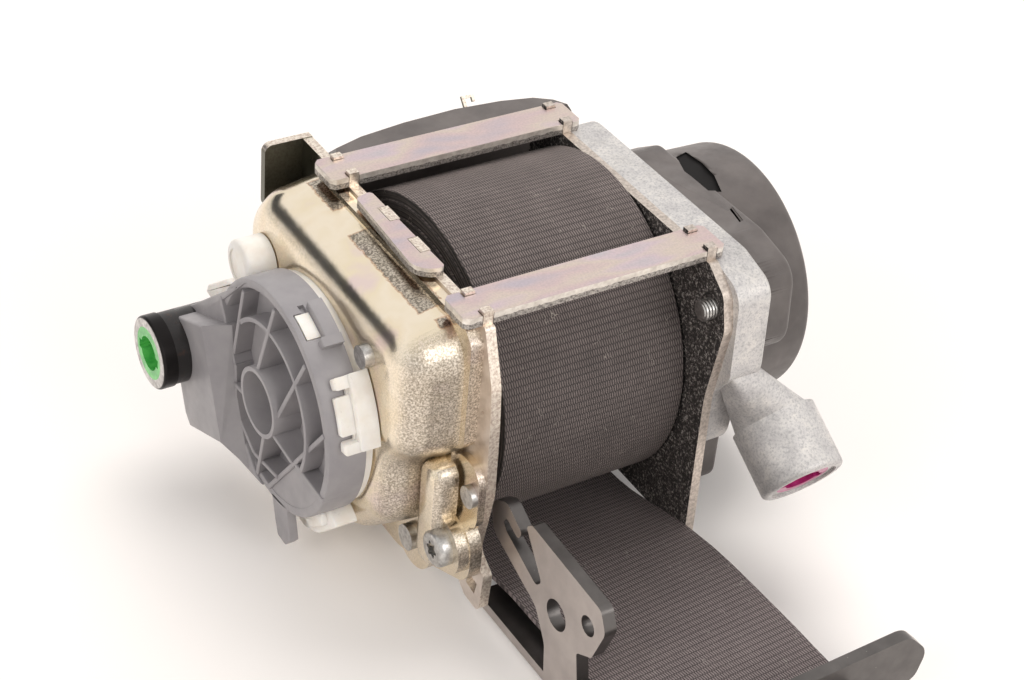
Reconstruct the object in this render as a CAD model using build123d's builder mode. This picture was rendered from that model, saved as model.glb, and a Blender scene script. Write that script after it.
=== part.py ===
from build123d import *
import os
from math import atan2, cos, degrees, hypot, radians, sin

os.makedirs("parts", exist_ok=True)

# Seat belt retractor with a pyrotechnic pretensioner.
# All sizes are in millimetres. The model is laid out about the spool: X runs along the spool
# axis to the locking side, -Y faces the webbing exit and +Z is up. Each piece is then moved by
# "stand", which puts the middle of the object's footprint at the origin and its feet at Z = 0.

# Webbing and roll
webbing_width = 47.0
webbing_thickness = 1.2
roll_radius = 38.9
roll_clearance = 0.3
core_radius = 15.0
webbing_sideways = 2.2
webbing_lie = -35.0
webbing_end = 118.0

# Frame
plate_thickness = 2.4
left_plate_face = -29.6
right_plate_face = 24.2
plate_top = 36.8
foot_depth = 42.0
spool_hole_radius = 25.0
tenon_width = 1.9
tenon_fit = 0.15
tenon_height = 3.3
bar_thickness = 2.6
bar_width = 9.4
bar_left_end = -36.3
bar_right_end = 29.3
front_bar_place = -34.6
rear_bar_place = 23.6
lower_bar_place = (27.0, -36.0)
strip_thickness = 2.2

# Drive side, left
base_plate_thickness = 1.8
cover_sheet = 1.2
cover_face = -49.0
cover_draft = 8.0
cover_edge_radius = 8.0
cap_radius = 30.0
cap_wall = 1.8
cap_skirt_start = -49.5
cap_floor_face = -56.6
cap_rim_face = -60.0
hub_face = -63.4
hub_radius = 10.2
hub_bore_radius = 8.6
rib_circle_radius = 25.5
rib_width = 1.1
rib_count = 8
generator_radius = 8.9
generator_end = -72.5
generator_place = (38.2, -9.2)

# Locking side, right
housing_thickness = 9.4
lock_tip_radius = 23.2
lock_root_radius = 25.0
lock_ring_radius = 28.0
lock_teeth = 36
head_radius = 22.2
pawl_pivot_radius = 17.0
pawl_reach = 11.1
pawl_rest_angle = 9.6
pawl_swing = 21.0
disc_lag = 18.0
disc_teeth = 40
disc_radius = 24.0
disc_tip_radius = 25.3
running_fit = 0.05
cap_right_end = 66.2
cap_right_radius = 31.4
boss_radius = 10.1
boss_length = 16.0
boss_end = (43.0, -62.5, -14.7)
boss_fall = 31.5

# Bracket on the webbing
bracket_sheet = 3.0
bracket_base_sheet = 2.5
bracket_front = 109.0
bracket_bolt_radius = 3.7
bracket_pin_radius = 2.4

# Sizes of the hidden mechanism
cover_hole_radius = 9.0
screw_radius = 2.1
screw_fit = 0.1
wheel_start = -35.0
wheel_width = 8.0
wheel_radius = 19.0
wheel_pockets = 10
ball_radius = 3.2
race_radius = 26.0
race_start = 60.0
race_step = 15.5
race_balls = 7
spool_neck_radius = 8.4
spool_flange_radius = 30.0
spool_right_radius = 24.0
shaft_radius = 4.0
torsion_radius = 5.0
torsion_head_radius = 7.0
arbor_radius = 6.0
arbor_end = -56.6
spring_start = -50.8
spring_width = 4.6
igniter_radius = 8.0
igniter_depth = 12.0
insert_radius = 6.4
socket_mouth_radius = 4.2
socket_depth = 5.0
plastic_wall = 1.6
sensor_cover_width = 11.0
right_bush_radius = 5.5
sensor_y = -10.0
sensor_floor = -39.1
sensor_ball_radius = 3.2
sensor_pivot_z = -30.1
spring_inner_radius = 7.2
spring_pitch = 2.6
spring_strip = 0.5
spring_half_turns = 13
box_face = -65.5
guard_right_end = 39.5
rib_first_angle = 12.0
rib_ring_radius = 18.4
head_web = 2.6
pawl_width = 4.6
pawl_pin_radius = 1.6
pawl_boss_radius = 3.3
pawl_clearance = 0.35
pawl_pocket_steps = 3
guide_reach = 6.4
guide_pin_radius = 1.1
disc_gap = 2.3
disc_width = 2.0
hub_neck_radius = 5.5
end_shaft_radius = 3.0
end_shaft_length = 18.0
lock_ring_width = 7.0
tab_floor = -39.5
sensor_width = 8.6
sensor_tooth_top = -21.4
sensor_tooth_angle = 233.2
guard_wall = 2.2

# Places that follow from the sizes above
half_webbing = webbing_width / 2
left_plate_back = left_plate_face - plate_thickness
right_plate_back = right_plate_face + plate_thickness
bar_bottom = plate_top
bar_top = bar_bottom + bar_thickness
base_plate_back = left_plate_back - base_plate_thickness
flange_back = base_plate_back - cover_sheet
housing_back = right_plate_back + housing_thickness
head_end = right_plate_back + head_web + pawl_width + 0.2
front_bar_edges = (front_bar_place - bar_width / 2, front_bar_place + bar_width / 2)
rear_bar_edges = (rear_bar_place - bar_width / 2, rear_bar_place + bar_width / 2)
generator_rear = generator_place[0] + generator_radius
stand = Location((
    -(cap_right_end + generator_end) / 2,
    -(generator_rear - webbing_end) / 2,
    foot_depth,
))


def across(x):
    """Plane square to the spool axis at x; its own X runs along Y and its own Y along Z."""
    return Plane.YZ.offset(x)


def turned(point, angle):
    """A point of that plane turned about the spool axis by an angle in degrees."""
    a = radians(angle)
    return (point[0] * cos(a) - point[1] * sin(a), point[0] * sin(a) + point[1] * cos(a))


def polar(radius, angle):
    return (radius * cos(radians(angle)), radius * sin(radians(angle)))


# Frame plates, tie bars and the strip along the left plate's top edge

tenon_places = (
    front_bar_edges[0] + tenon_width / 2,
    front_bar_edges[1] - tenon_width / 2,
    rear_bar_edges[0] + tenon_width / 2,
    rear_bar_edges[1] - tenon_width / 2,
)

strip_tenon_places = (2.9, -10.4)
strip_tenon_length = 5.6
left_plate_outline = [
    (43.4, plate_top), (43.4, 20), (33, 14), (33, -28),
    (31, -foot_depth), (21, -foot_depth), (14, -36), (-20, -36), (-36, -32), (-40.9, -35.8),
    (-47.0, -36.2), (-47.8, -25.4), (-42.6, -22), (-46.0, -4), (-45.4, 14), (-44.6, 24),
    (-40.3, plate_top),
]
left_plate_radii = [2, 2, 4, 3, 1.5, 1.5, 4, 3, 2, 1.5, 1.8, 1.8, 3, 20, 20, 12, 1.0]

with BuildPart() as left_plate:
    with BuildSketch(across(left_plate_back)):
        with BuildLine():
            FilletPolyline(*left_plate_outline, radius=left_plate_radii, close=True)
        make_face()
        Circle(spool_hole_radius, mode=Mode.SUBTRACT)
        with Locations((-43.4, -30.4)):
            Rectangle(3.6, 3.6, rotation=12, mode=Mode.SUBTRACT)
    extrude(amount=plate_thickness)
    with BuildSketch(across(left_plate_back)):
        with Locations(*[(y, plate_top + tenon_height / 2) for y in tenon_places]):
            Rectangle(tenon_width, tenon_height)
        with Locations(*[(y, plate_top + strip_thickness / 2) for y in strip_tenon_places]):
            Rectangle(strip_tenon_length, strip_thickness)
    extrude(amount=plate_thickness)
    # The upper rear corner ends in an ear that is bent out behind the drive cover
    with BuildSketch(Plane.XZ.offset(-43.4)):
        with Locations((left_plate_face, 28.5)):
            RectangleRounded(24, 17, 2)
        with Locations((left_plate_face + 10, 28.5)):
            Rectangle(20, 17, mode=Mode.SUBTRACT)
    extrude(amount=1.9)

with BuildPart() as right_plate:
    with BuildSketch(across(right_plate_face)):
        with BuildLine():
            FilletPolyline(
                (rear_bar_edges[1], plate_top), (32, 27), (33, -28), (31, -foot_depth),
                (21, -foot_depth), (14, -36), (-33, -37), (-35.6, tab_floor), (-46.5, tab_floor),
                (-45.6, 4), (-48.8, 24), (-46.8, 32), (-40.3, plate_top),
                radius=[1, 4, 4, 1.5, 1.5, 4, 1.5, 1.2, 1.5, 30, 6, 4, 2], close=True,
            )
        make_face()
        Circle(spool_hole_radius, mode=Mode.SUBTRACT)
    extrude(amount=plate_thickness)
    with BuildSketch(across(right_plate_face)):
        with Locations(*[(y, plate_top + tenon_height / 2) for y in tenon_places]):
            Rectangle(tenon_width, tenon_height)
    extrude(amount=plate_thickness)
    # Lower tab bent in under the webbing's edge, with its slot
    with BuildSketch(Plane.XY.offset(tab_floor)):
        with Locations((right_plate_face - 2.8, -41)):
            RectangleRounded(9.2, 11, 1.5)
            SlotOverall(6, 2.4, rotation=90, mode=Mode.SUBTRACT)
        with Locations((right_plate_face + 5, -41)):
            Rectangle(10, 12, mode=Mode.SUBTRACT)
    extrude(amount=2.0)


def tie_bar(place):
    """Flat bar across the two plates, notched in both edges for the plates' tenons."""
    with BuildPart() as bar:
        with BuildSketch(Plane.XY.offset(bar_bottom)):
            with Locations(((bar_left_end + bar_right_end) / 2, place)):
                Rectangle(bar_right_end - bar_left_end, bar_width)
            chamfer(vertices(), 1.1)
            for plate_middle in (
                left_plate_face - plate_thickness / 2, right_plate_face + plate_thickness / 2,
            ):
                for edge in (-1, 1):
                    notch_place = place + edge * (bar_width / 2 - tenon_width / 2)
                    with Locations((plate_middle, notch_place)):
                        Rectangle(
                            plate_thickness + 2 * tenon_fit, tenon_width + 2 * tenon_fit,
                            mode=Mode.SUBTRACT,
                        )
        extrude(amount=bar_thickness)
        fillet(bar.faces().sort_by(Axis.Z)[-1].outer_wire().edges().filter_by(Axis.Y), 0.3)
    return bar


front_bar = tie_bar(front_bar_place)
rear_bar = tie_bar(rear_bar_place)

with BuildPart() as lower_bar:
    lower_bar_middle = (left_plate_face + right_plate_face) / 2
    with BuildSketch(Plane.XY.offset(lower_bar_place[1])):
        with Locations((lower_bar_middle, lower_bar_place[0])):
            Rectangle(right_plate_face - left_plate_face, bar_width)
    extrude(amount=bar_thickness)

with BuildPart() as edge_strip:
    with BuildSketch(Plane.XY.offset(plate_top)):
        with BuildLine():
            FilletPolyline(
                (left_plate_face - 0.6, 12.5), (left_plate_back - 2.4, 11.2),
                (left_plate_back - 4.2, -20), (left_plate_face - 0.2, -20),
                radius=[1, 1, 5, 1], close=True,
            )
        make_face()
        with Locations(*[(left_plate_face - plate_thickness / 2, y) for y in strip_tenon_places]):
            Rectangle(
                plate_thickness + 2 * tenon_fit, strip_tenon_length + 2 * tenon_fit,
                mode=Mode.SUBTRACT,
            )
    extrude(amount=strip_thickness)

# Drive side: base plate, drawn cover, drive wheel

cover_outline = [
    (26, 36.2), (-37, 36.2), (-40.4, 33), (-40.4, 6.5), (-35.8, 3.5), (-36.2, -12),
    (-46.5, -14), (-46.5, -27), (-33, -33), (-17, -39.5), (14, -39.5), (34, -26),
    (41, 4), (40.5, 26),
]
cover_radii = [9, 3, 2.5, 2.5, 3, 3, 6, 7, 3, 14, 18, 18, 20, 12]

with BuildPart() as drive_base_plate:
    with BuildSketch(across(base_plate_back)):
        with BuildLine():
            FilletPolyline(*cover_outline, radius=cover_radii, close=True)
        make_face()
        with Locations((-40.5, -5.5)):
            RectangleRounded(11, 17, 4.5)
        Circle(12, mode=Mode.SUBTRACT)
    extrude(amount=base_plate_thickness)


dome_outline = [
    (31, 35.4), (-38.6, 34.6), (-38.6, 5), (-32, -2), (-31, -19), (-16, -33), (14, -37),
    (33, -25), (39.5, 4), (39.5, 25),
]
dome_radii = [12, 10, 9, 9, 11, 14, 18, 18, 20, 12]


def drive_dome(inset, start, face, edge_radius):
    """Drawn form of the cover, drafted towards its face and rounded round the face's edge."""
    with BuildPart() as dome:
        with BuildSketch(across(start)):
            with BuildLine():
                FilletPolyline(*dome_outline, radius=dome_radii, close=True)
            make_face()
            if inset > 0:
                offset(amount=-inset, kind=Kind.INTERSECTION)
        extrude(amount=face - start, taper=cover_draft)
        fillet(dome.faces().sort_by(Axis.X)[0].edges(), edge_radius)
    return dome.part


outer_dome = drive_dome(0, base_plate_back, cover_face, cover_edge_radius)
inner_dome = drive_dome(
    cover_sheet, base_plate_back, cover_face + cover_sheet, cover_edge_radius - cover_sheet
)
screw_place = (-39.8, -20.0)
lower_rivet_place = (-27.0, -27.0)
upper_rivet_place = (-23.0, 24.0)
lobe_face = base_plate_back - 4.0
with BuildPart() as drive_cover:
    with BuildSketch(across(flange_back)):
        with BuildLine():
            FilletPolyline(*cover_outline, radius=cover_radii, close=True)
        make_face()
    extrude(amount=cover_sheet)
    add(outer_dome)
    # Two lobes beside the narrow lower part, one under each fastener
    with BuildSketch(across(base_plate_back)):
        with Locations(screw_place):
            Circle(6.6)
        with Locations(lower_rivet_place):
            Circle(8.0)
    extrude(amount=lobe_face - base_plate_back)
    add(inner_dome, mode=Mode.SUBTRACT)
    with BuildSketch(across(cover_face - 1)):
        Circle(cover_hole_radius)
    extrude(amount=3, mode=Mode.SUBTRACT)
    with BuildSketch(across(lobe_face - 1)):
        with Locations(screw_place):
            Circle(screw_radius + screw_fit)
    extrude(amount=8, mode=Mode.SUBTRACT)

# Drive wheel with pockets round its rim, free of the spool until the pretensioner fires
with BuildPart() as drive_wheel:
    with BuildSketch(across(wheel_start)):
        Circle(wheel_radius)
        with PolarLocations(wheel_radius + 1.4, wheel_pockets):
            Circle(ball_radius, mode=Mode.SUBTRACT)
        Circle(spool_neck_radius + running_fit, mode=Mode.SUBTRACT)
    extrude(amount=-wheel_width)

# Train of driving balls waiting in their curved race inside the cover
with BuildPart() as drive_balls:
    with Locations(*[
        ((wheel_start - wheel_width / 2), *polar(race_radius, race_start + race_step * i))
        for i in range(race_balls)
    ]):
        Sphere(ball_radius)

with BuildPart() as ball_race:
    with BuildSketch(across(base_plate_back)):
        with BuildLine():
            race_from = race_start - race_step * 0.6
            race_sweep = race_step * (race_balls + 0.2)
            outer_arc = CenterArc((0, 0), race_radius + ball_radius + 1.1, race_from, race_sweep)
            inner_arc = CenterArc((0, 0), race_radius + ball_radius + 0.1, race_from, race_sweep)
            Line(outer_arc @ 0, inner_arc @ 0)
            Line(outer_arc @ 1, inner_arc @ 1)
        make_face()
    extrude(amount=wheel_start - wheel_width - base_plate_back)

with BuildPart() as left_bush:
    with BuildSketch(across(left_plate_face - 0.8)):
        Circle(spool_hole_radius)
        Circle(spool_neck_radius + running_fit, mode=Mode.SUBTRACT)
    extrude(amount=0.8 - plate_thickness)
    with BuildSketch(across(left_plate_back)):
        Circle(12)
        Circle(spool_neck_radius + running_fit, mode=Mode.SUBTRACT)
    extrude(amount=-base_plate_thickness)

# Spool, roll and what turns with them

with BuildPart() as spool:
    with BuildSketch(across(-half_webbing - 0.4)):
        Circle(core_radius)
        Circle(torsion_head_radius, mode=Mode.SUBTRACT)
        with Locations((core_radius - 3, 0)):
            Rectangle(9, 2.2, mode=Mode.SUBTRACT)
    extrude(amount=webbing_width + 0.8)
    with BuildSketch(across(-half_webbing - 0.4)):
        Circle(spool_flange_radius)
        Circle(torsion_head_radius, mode=Mode.SUBTRACT)
    extrude(amount=-1.8)
    with BuildSketch(across(-half_webbing - 2.2)):
        Circle(spool_hole_radius - 4)
        Circle(torsion_head_radius, mode=Mode.SUBTRACT)
    extrude(amount=-(left_plate_face + half_webbing + 2.2) * -1 - 0.3)
    with BuildSketch(across(left_plate_face + 0.3)):
        Circle(spool_neck_radius)
        Circle(shaft_radius, mode=Mode.SUBTRACT)
    extrude(amount=wheel_start - wheel_width - left_plate_face - 0.9)
    with BuildSketch(across(half_webbing + 0.4)):
        Circle(spool_right_radius)
        Circle(torsion_head_radius, mode=Mode.SUBTRACT)
    extrude(amount=right_plate_back - half_webbing - 0.4)

with BuildPart() as webbing_roll:
    with BuildSketch(across(-half_webbing)):
        Circle(roll_radius)
        Circle(core_radius, mode=Mode.SUBTRACT)
    extrude(amount=webbing_width)

# Torsion bar: thin middle, a thick head at each end
with BuildPart() as torsion_bar:
    with BuildSketch(across(left_plate_face + 0.3)):
        Circle(torsion_head_radius)
    extrude(amount=9)
    with BuildSketch(across(left_plate_face + 9.3)):
        Circle(torsion_radius)
    extrude(amount=right_plate_back - left_plate_face - 18.6)
    with BuildSketch(across(right_plate_back - 9.3)):
        Circle(torsion_head_radius)
    extrude(amount=9.3 + head_web)

with BuildPart() as spring_arbor:
    with BuildSketch(across(left_plate_face + 0.3)):
        Circle(shaft_radius)
    extrude(amount=arbor_end - left_plate_face - 0.3)
    with BuildSketch(across(spring_start)):
        Circle(arbor_radius)
        with Locations((arbor_radius, 0)):
            Rectangle(3, 1.0, mode=Mode.SUBTRACT)
    extrude(amount=-spring_width)

# Locking side: ring of teeth, locking head on the spool, pawl and control disc

tooth_step = 360 / lock_teeth
pawl_engaged_angle = pawl_rest_angle + pawl_swing
pawl_pivot = (0, pawl_pivot_radius)
pawl_tip = (
    pawl_reach * cos(radians(pawl_engaged_angle)),
    pawl_pivot_radius + pawl_reach * sin(radians(pawl_engaged_angle)),
)
gap_angle = degrees(atan2(pawl_tip[1], pawl_tip[0])) + 0.6
lock_points = []
for tooth in range(lock_teeth):
    start_angle = gap_angle + tooth_step * tooth
    lock_points.append(polar(lock_root_radius, start_angle - tooth_step * 0.38))
    lock_points.append(polar(lock_root_radius, start_angle + tooth_step * 0.38))
    lock_points.append(polar(lock_tip_radius, start_angle + tooth_step * 0.5))

with BuildPart() as lock_ring:
    with BuildSketch(across(right_plate_back)):
        Circle(lock_ring_radius)
        with BuildLine():
            Polyline(*lock_points, close=True)
        make_face(mode=Mode.SUBTRACT)
    extrude(amount=lock_ring_width)


def pawl_shape(angle, grow):
    """Outline of the pawl swung out to an angle, with a margin all round."""
    with BuildSketch() as shape:
        with Locations(pawl_pivot):
            Circle(pawl_boss_radius + grow)
        far = (
            pawl_pivot[0] + pawl_reach * cos(radians(angle)),
            pawl_pivot[1] + pawl_reach * sin(radians(angle)),
        )
        with BuildLine():
            side_step = (-sin(radians(angle)), cos(radians(angle)))
            Polyline(
                (pawl_pivot[0] + side_step[0] * (2.4 + grow), pawl_pivot[1] + side_step[1] * (2.4 + grow)),
                (far[0] + side_step[0] * (0.3 + grow) + grow * side_step[1],
                 far[1] + side_step[1] * (0.3 + grow) - grow * side_step[0]),
                (far[0] - side_step[0] * (2.0 + grow) + grow * side_step[1],
                 far[1] - side_step[1] * (2.0 + grow) - grow * side_step[0]),
                (pawl_pivot[0] - side_step[0] * (2.6 + grow), pawl_pivot[1] - side_step[1] * (2.6 + grow)),
                close=True,
            )
        make_face()
    return shape.sketch


pawl_plane = across(right_plate_back + head_web)
with BuildPart() as lock_pawl:
    with BuildSketch(pawl_plane):
        add(pawl_shape(pawl_rest_angle, 0))
        with Locations(pawl_pivot):
            Circle(pawl_pin_radius + running_fit, mode=Mode.SUBTRACT)
    extrude(amount=pawl_width)
    guide_place = (
        pawl_pivot[0] + guide_reach * cos(radians(pawl_rest_angle)),
        pawl_pivot[1] + guide_reach * sin(radians(pawl_rest_angle)),
    )
    with BuildSketch(across(right_plate_back + head_web + pawl_width)):
        with Locations(guide_place):
            Circle(guide_pin_radius)
    extrude(amount=disc_gap + disc_width)

with BuildPart() as locking_head:
    with BuildSketch(across(right_plate_back)):
        Circle(head_radius)
        Circle(torsion_head_radius, mode=Mode.SUBTRACT)
    extrude(amount=head_web)
    with BuildSketch(pawl_plane):
        Circle(head_radius)
        for swing_part in range(pawl_pocket_steps + 1):
            pocket_angle = pawl_rest_angle + pawl_swing * swing_part / pawl_pocket_steps
            add(pawl_shape(pocket_angle, pawl_clearance), mode=Mode.SUBTRACT)
    extrude(amount=pawl_width + 0.2)
    with BuildSketch(pawl_plane):
        with Locations(pawl_pivot):
            Circle(pawl_pin_radius)
    extrude(amount=pawl_width + 0.2)
    with BuildSketch(across(head_end)):
        Circle(hub_neck_radius)
    extrude(amount=disc_gap + disc_width)
    with BuildSketch(across(head_end + disc_gap + disc_width)):
        Circle(end_shaft_radius)
    extrude(amount=end_shaft_length)


def guide_point(part):
    """Where the pawl's guide pin stands on the control disc, part of the way through its swing."""
    a = radians(pawl_rest_angle + pawl_swing * part)
    standing = (pawl_pivot[0] + guide_reach * cos(a), pawl_pivot[1] + guide_reach * sin(a))
    return turned(standing, -disc_lag * part)


disc_points = []
for tooth in range(disc_teeth):
    start_angle = sensor_tooth_angle + 360 / disc_teeth * tooth
    disc_points.append(polar(disc_radius, start_angle))
    disc_points.append(polar(disc_tip_radius, start_angle + 360 / disc_teeth * 0.85))

with BuildPart() as control_disc:
    with BuildSketch(across(head_end + disc_gap)):
        with BuildLine():
            Polyline(*disc_points, close=True)
        make_face()
        Circle(hub_neck_radius + running_fit, mode=Mode.SUBTRACT)
        for slot_part in range(pawl_pocket_steps + 1):
            with Locations(guide_point(slot_part / pawl_pocket_steps)):
                Circle(guide_pin_radius + 0.35, mode=Mode.SUBTRACT)
    extrude(amount=disc_width)

with BuildPart() as right_housing:
    with BuildSketch(across(right_plate_back)):
        with BuildLine():
            FilletPolyline(
                (22, plate_top), (-38, plate_top), (-49.4, 33.5), (-50.4, 11), (-44, 3), (-43, -12),
                (-30, -25), (0, -32), (24, -25), (32, 0), (30, 28),
                radius=[8, 5, 6, 4, 5, 8, 14, 16, 16, 16, 10], close=True,
            )
        make_face()
        Circle(lock_ring_radius, mode=Mode.SUBTRACT)
    extrude(amount=housing_thickness)
    chamfer(right_housing.faces().sort_by(Axis.X)[-1].outer_wire().edges(), 1.0)
    # Pedestal that flares from the front band to the round boss
    boss_plane = Plane(
        origin=boss_end, x_dir=(1, 0, 0),
        z_dir=(0, -cos(radians(boss_fall)), -sin(radians(boss_fall))),
    )
    with BuildSketch(Plane.XY.offset(11)):
        with Locations(((right_plate_back + housing_back) / 2, -46.2)):
            RectangleRounded(housing_thickness - 0.2, 8, 1.5)
    with BuildSketch(boss_plane.offset(-boss_length + 1)):
        Circle(boss_radius - 0.6)
    loft()
    with BuildSketch(boss_plane):
        Circle(boss_radius)
    extrude(amount=-boss_length)
    fillet(right_housing.edges().filter_by(GeomType.CIRCLE).sort_by(Axis.Y)[0], 1.2)
    with BuildSketch(boss_plane):
        Circle(igniter_radius)
    extrude(amount=-igniter_depth, mode=Mode.SUBTRACT)
    with BuildSketch(across(right_plate_back)):
        Circle(lock_ring_radius)
    extrude(amount=housing_thickness, mode=Mode.SUBTRACT)

with BuildPart() as limiter_igniter:
    with BuildSketch(boss_plane.offset(-igniter_depth)):
        Circle(igniter_radius)
    extrude(amount=igniter_depth - 0.6)
    with BuildSketch(boss_plane.offset(-0.6)):
        Circle(insert_radius)
    extrude(amount=-7, mode=Mode.SUBTRACT)


def socket_insert(mouth, depth):
    """Plastic retainer ring in an igniter socket, with a round mouth and two side slots."""
    with BuildPart() as insert:
        with BuildSketch(mouth.offset(-depth)):
            Circle(insert_radius)
        extrude(amount=depth)
        with BuildSketch(mouth):
            Circle(socket_mouth_radius)
            Rectangle(2 * insert_radius - 2.4, 2.4)
        extrude(amount=-socket_depth, mode=Mode.SUBTRACT)
    return insert


limiter_insert = socket_insert(boss_plane.offset(-0.6), 7)

def sensor_cover_block(inset, depth, edge_radius):
    """Form of the sensor cover: a disc, a lobe to the front and a box below for the sensor."""
    with BuildPart() as block:
        with BuildSketch(across(housing_back)):
            Circle(32)
            with BuildLine():
                FilletPolyline(
                    (20, 27), (10, 33.5), (-30, 34), (-43.5, 31), (-45, 12), (-30, 2), (0, 0),
                    radius=[3, 4, 8, 7, 7, 6, 3], close=True,
                )
            make_face()
            with Locations((-13, -29)):
                RectangleRounded(30, 24, 4)
            if inset > 0:
                offset(amount=-inset)
        extrude(amount=depth)
        if edge_radius > 0:
            fillet(block.faces().sort_by(Axis.X)[-1].edges(), edge_radius)
    return block.part


sensor_cover_form = sensor_cover_block(0, sensor_cover_width, 1.6)
sensor_cover_hollow = sensor_cover_block(plastic_wall, sensor_cover_width - plastic_wall, 0)
with BuildPart() as sensor_cover:
    add(sensor_cover_form)
    add(sensor_cover_hollow, mode=Mode.SUBTRACT)
    with BuildSketch(across(housing_back)):
        Circle(right_bush_radius)
    extrude(amount=sensor_cover_width, mode=Mode.SUBTRACT)

sensor_cover_end = housing_back + sensor_cover_width
with BuildPart() as right_bush:
    with BuildSketch(across(sensor_cover_end - plastic_wall)):
        Circle(right_bush_radius)
        Circle(end_shaft_radius + running_fit, mode=Mode.SUBTRACT)
    extrude(amount=plastic_wall)

with BuildPart() as round_cap:
    with BuildSketch(Plane.XY):
        with BuildLine():
            cap_profile = FilletPolyline(
                (sensor_cover_end, 0), (sensor_cover_end, cap_right_radius),
                (cap_right_end, cap_right_radius - 0.6), (cap_right_end, 0),
                radius=[0.4, 2.2],
            )
            Line(cap_profile @ 1, cap_profile @ 0)
        make_face()
    revolve(axis=Axis.X)
    with BuildSketch(across(sensor_cover_end)):
        Circle(cap_right_radius - plastic_wall)
    extrude(
        amount=cap_right_end - sensor_cover_end - plastic_wall, taper=1.5, mode=Mode.SUBTRACT
    )

with BuildPart() as flywheel:
    with BuildSketch(across(sensor_cover_end + 1.5)):
        Circle(18)
        Circle(end_shaft_radius, mode=Mode.SUBTRACT)
        with PolarLocations(11.5, 4):
            Circle(3.4, mode=Mode.SUBTRACT)
    extrude(amount=4)

# Vehicle sensor under the control disc: cup, steel ball and the lever that the ball lifts
sensor_x = (housing_back + sensor_cover_end - plastic_wall) / 2
with BuildPart() as sensor_housing:
    with BuildSketch(Plane.XY.offset(sensor_floor)):
        with Locations((sensor_x, sensor_y)):
            Rectangle(sensor_width, 16)
    extrude(amount=5)
    with Locations((sensor_x, sensor_y - 1.5, sensor_floor + 1.4 + sensor_ball_radius + 0.3)):
        Sphere(sensor_ball_radius + 0.3, mode=Mode.SUBTRACT)
    with BuildSketch(Plane.XZ.offset(-(sensor_y + 8))):
        with Locations((sensor_x, sensor_floor + 6)):
            Rectangle(sensor_width, 12)
            Rectangle(5.6, 12.1, mode=Mode.SUBTRACT)
    extrude(amount=3)
    with BuildSketch(across(sensor_x - sensor_width / 2)):
        with Locations((sensor_y + 6.5, sensor_pivot_z)):
            Circle(0.8)
    extrude(amount=sensor_width)

with BuildPart() as sensor_ball:
    with Locations((sensor_x, sensor_y - 1.5, sensor_floor + 1.4 + sensor_ball_radius + 0.3)):
        Sphere(sensor_ball_radius)

with BuildPart() as sensor_lever:
    with BuildSketch(across(sensor_x - 2.5)):
        with Locations((sensor_y + 6.5, sensor_pivot_z)):
            Circle(1.7)
        with BuildLine():
            Polyline(
                (sensor_y + 6.5, sensor_pivot_z - 0.6), (sensor_y + 6.5, sensor_pivot_z + 0.9),
                (sensor_y - 6.6, sensor_pivot_z + 0.9), (sensor_y - 6.6, sensor_pivot_z - 0.6),
                close=True,
            )
        make_face()
        with Locations((sensor_y + 6.5, sensor_pivot_z)):
            Circle(0.8 + running_fit, mode=Mode.SUBTRACT)
    extrude(amount=5)
    # Its tooth reaches sideways under the control disc's rim
    with BuildSketch(across(head_end + disc_gap + 0.2)):
        with BuildLine():
            Polyline(
                (sensor_y - 4.4, sensor_pivot_z - 0.6), (sensor_y - 5.2, sensor_tooth_top),
                (sensor_y - 5.8, sensor_tooth_top), (sensor_y - 6.6, sensor_pivot_z - 0.6),
                close=True,
            )
        make_face()
    extrude(amount=sensor_x + 2.5 - head_end - disc_gap - 0.2)

# Left side: return spring, its carrier, ribbed cap and the gas generator

with BuildPart() as spring_carrier:
    with BuildSketch(across(cover_face)):
        Circle(cap_radius - cap_wall - 0.4)
        Circle(cover_hole_radius, mode=Mode.SUBTRACT)
    extrude(amount=spring_start + 0.2 - cover_face)
    with BuildSketch(across(cover_face)):
        for clip_from, clip_sweep in ((153, 36), (248, 34)):
            with BuildLine():
                clip_outer = CenterArc((0, 0), cap_radius + 3.2, clip_from, clip_sweep)
                clip_inner = CenterArc((0, 0), cap_radius + 0.1, clip_from, clip_sweep)
                Line(clip_outer @ 0, clip_inner @ 0)
                Line(clip_outer @ 1, clip_inner @ 1)
            make_face()
    extrude(amount=-8)
    with BuildSketch(across(cover_face)):
        for clip_from, clip_sweep in ((158, 26), (253, 24)):
            with BuildLine():
                clip_outer = CenterArc((0, 0), cap_radius + 1, clip_from, clip_sweep)
                clip_inner = CenterArc((0, 0), cap_radius - 4, clip_from, clip_sweep)
                Line(clip_outer @ 0, clip_inner @ 0)
                Line(clip_outer @ 1, clip_inner @ 1)
            make_face()
    extrude(amount=cap_skirt_start + 0.1 - cover_face)

with BuildPart() as carrier_boss:
    with BuildSketch(across(cover_face)):
        with Locations((24.5, 20.5)):
            Circle(6.6)
    extrude(amount=-8)
    fillet(carrier_boss.faces().sort_by(Axis.X)[0].edges(), 1.2)
    with BuildSketch(across(cover_face)):
        Circle(cap_radius + 0.2)
    extrude(amount=-9, mode=Mode.SUBTRACT)


def spiral_edge(shift):
    """One edge of the spiral spring: half circles that grow by half a pitch each."""
    edges = []
    for half_turn in range(spring_half_turns):
        radius = spring_inner_radius + spring_pitch / 2 * half_turn
        centre = 0 if half_turn % 2 == 0 else spring_pitch / 2
        begin = 0 if half_turn % 2 == 0 else 180
        edges.append(((centre, 0), radius + shift, begin))
    return edges


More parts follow.
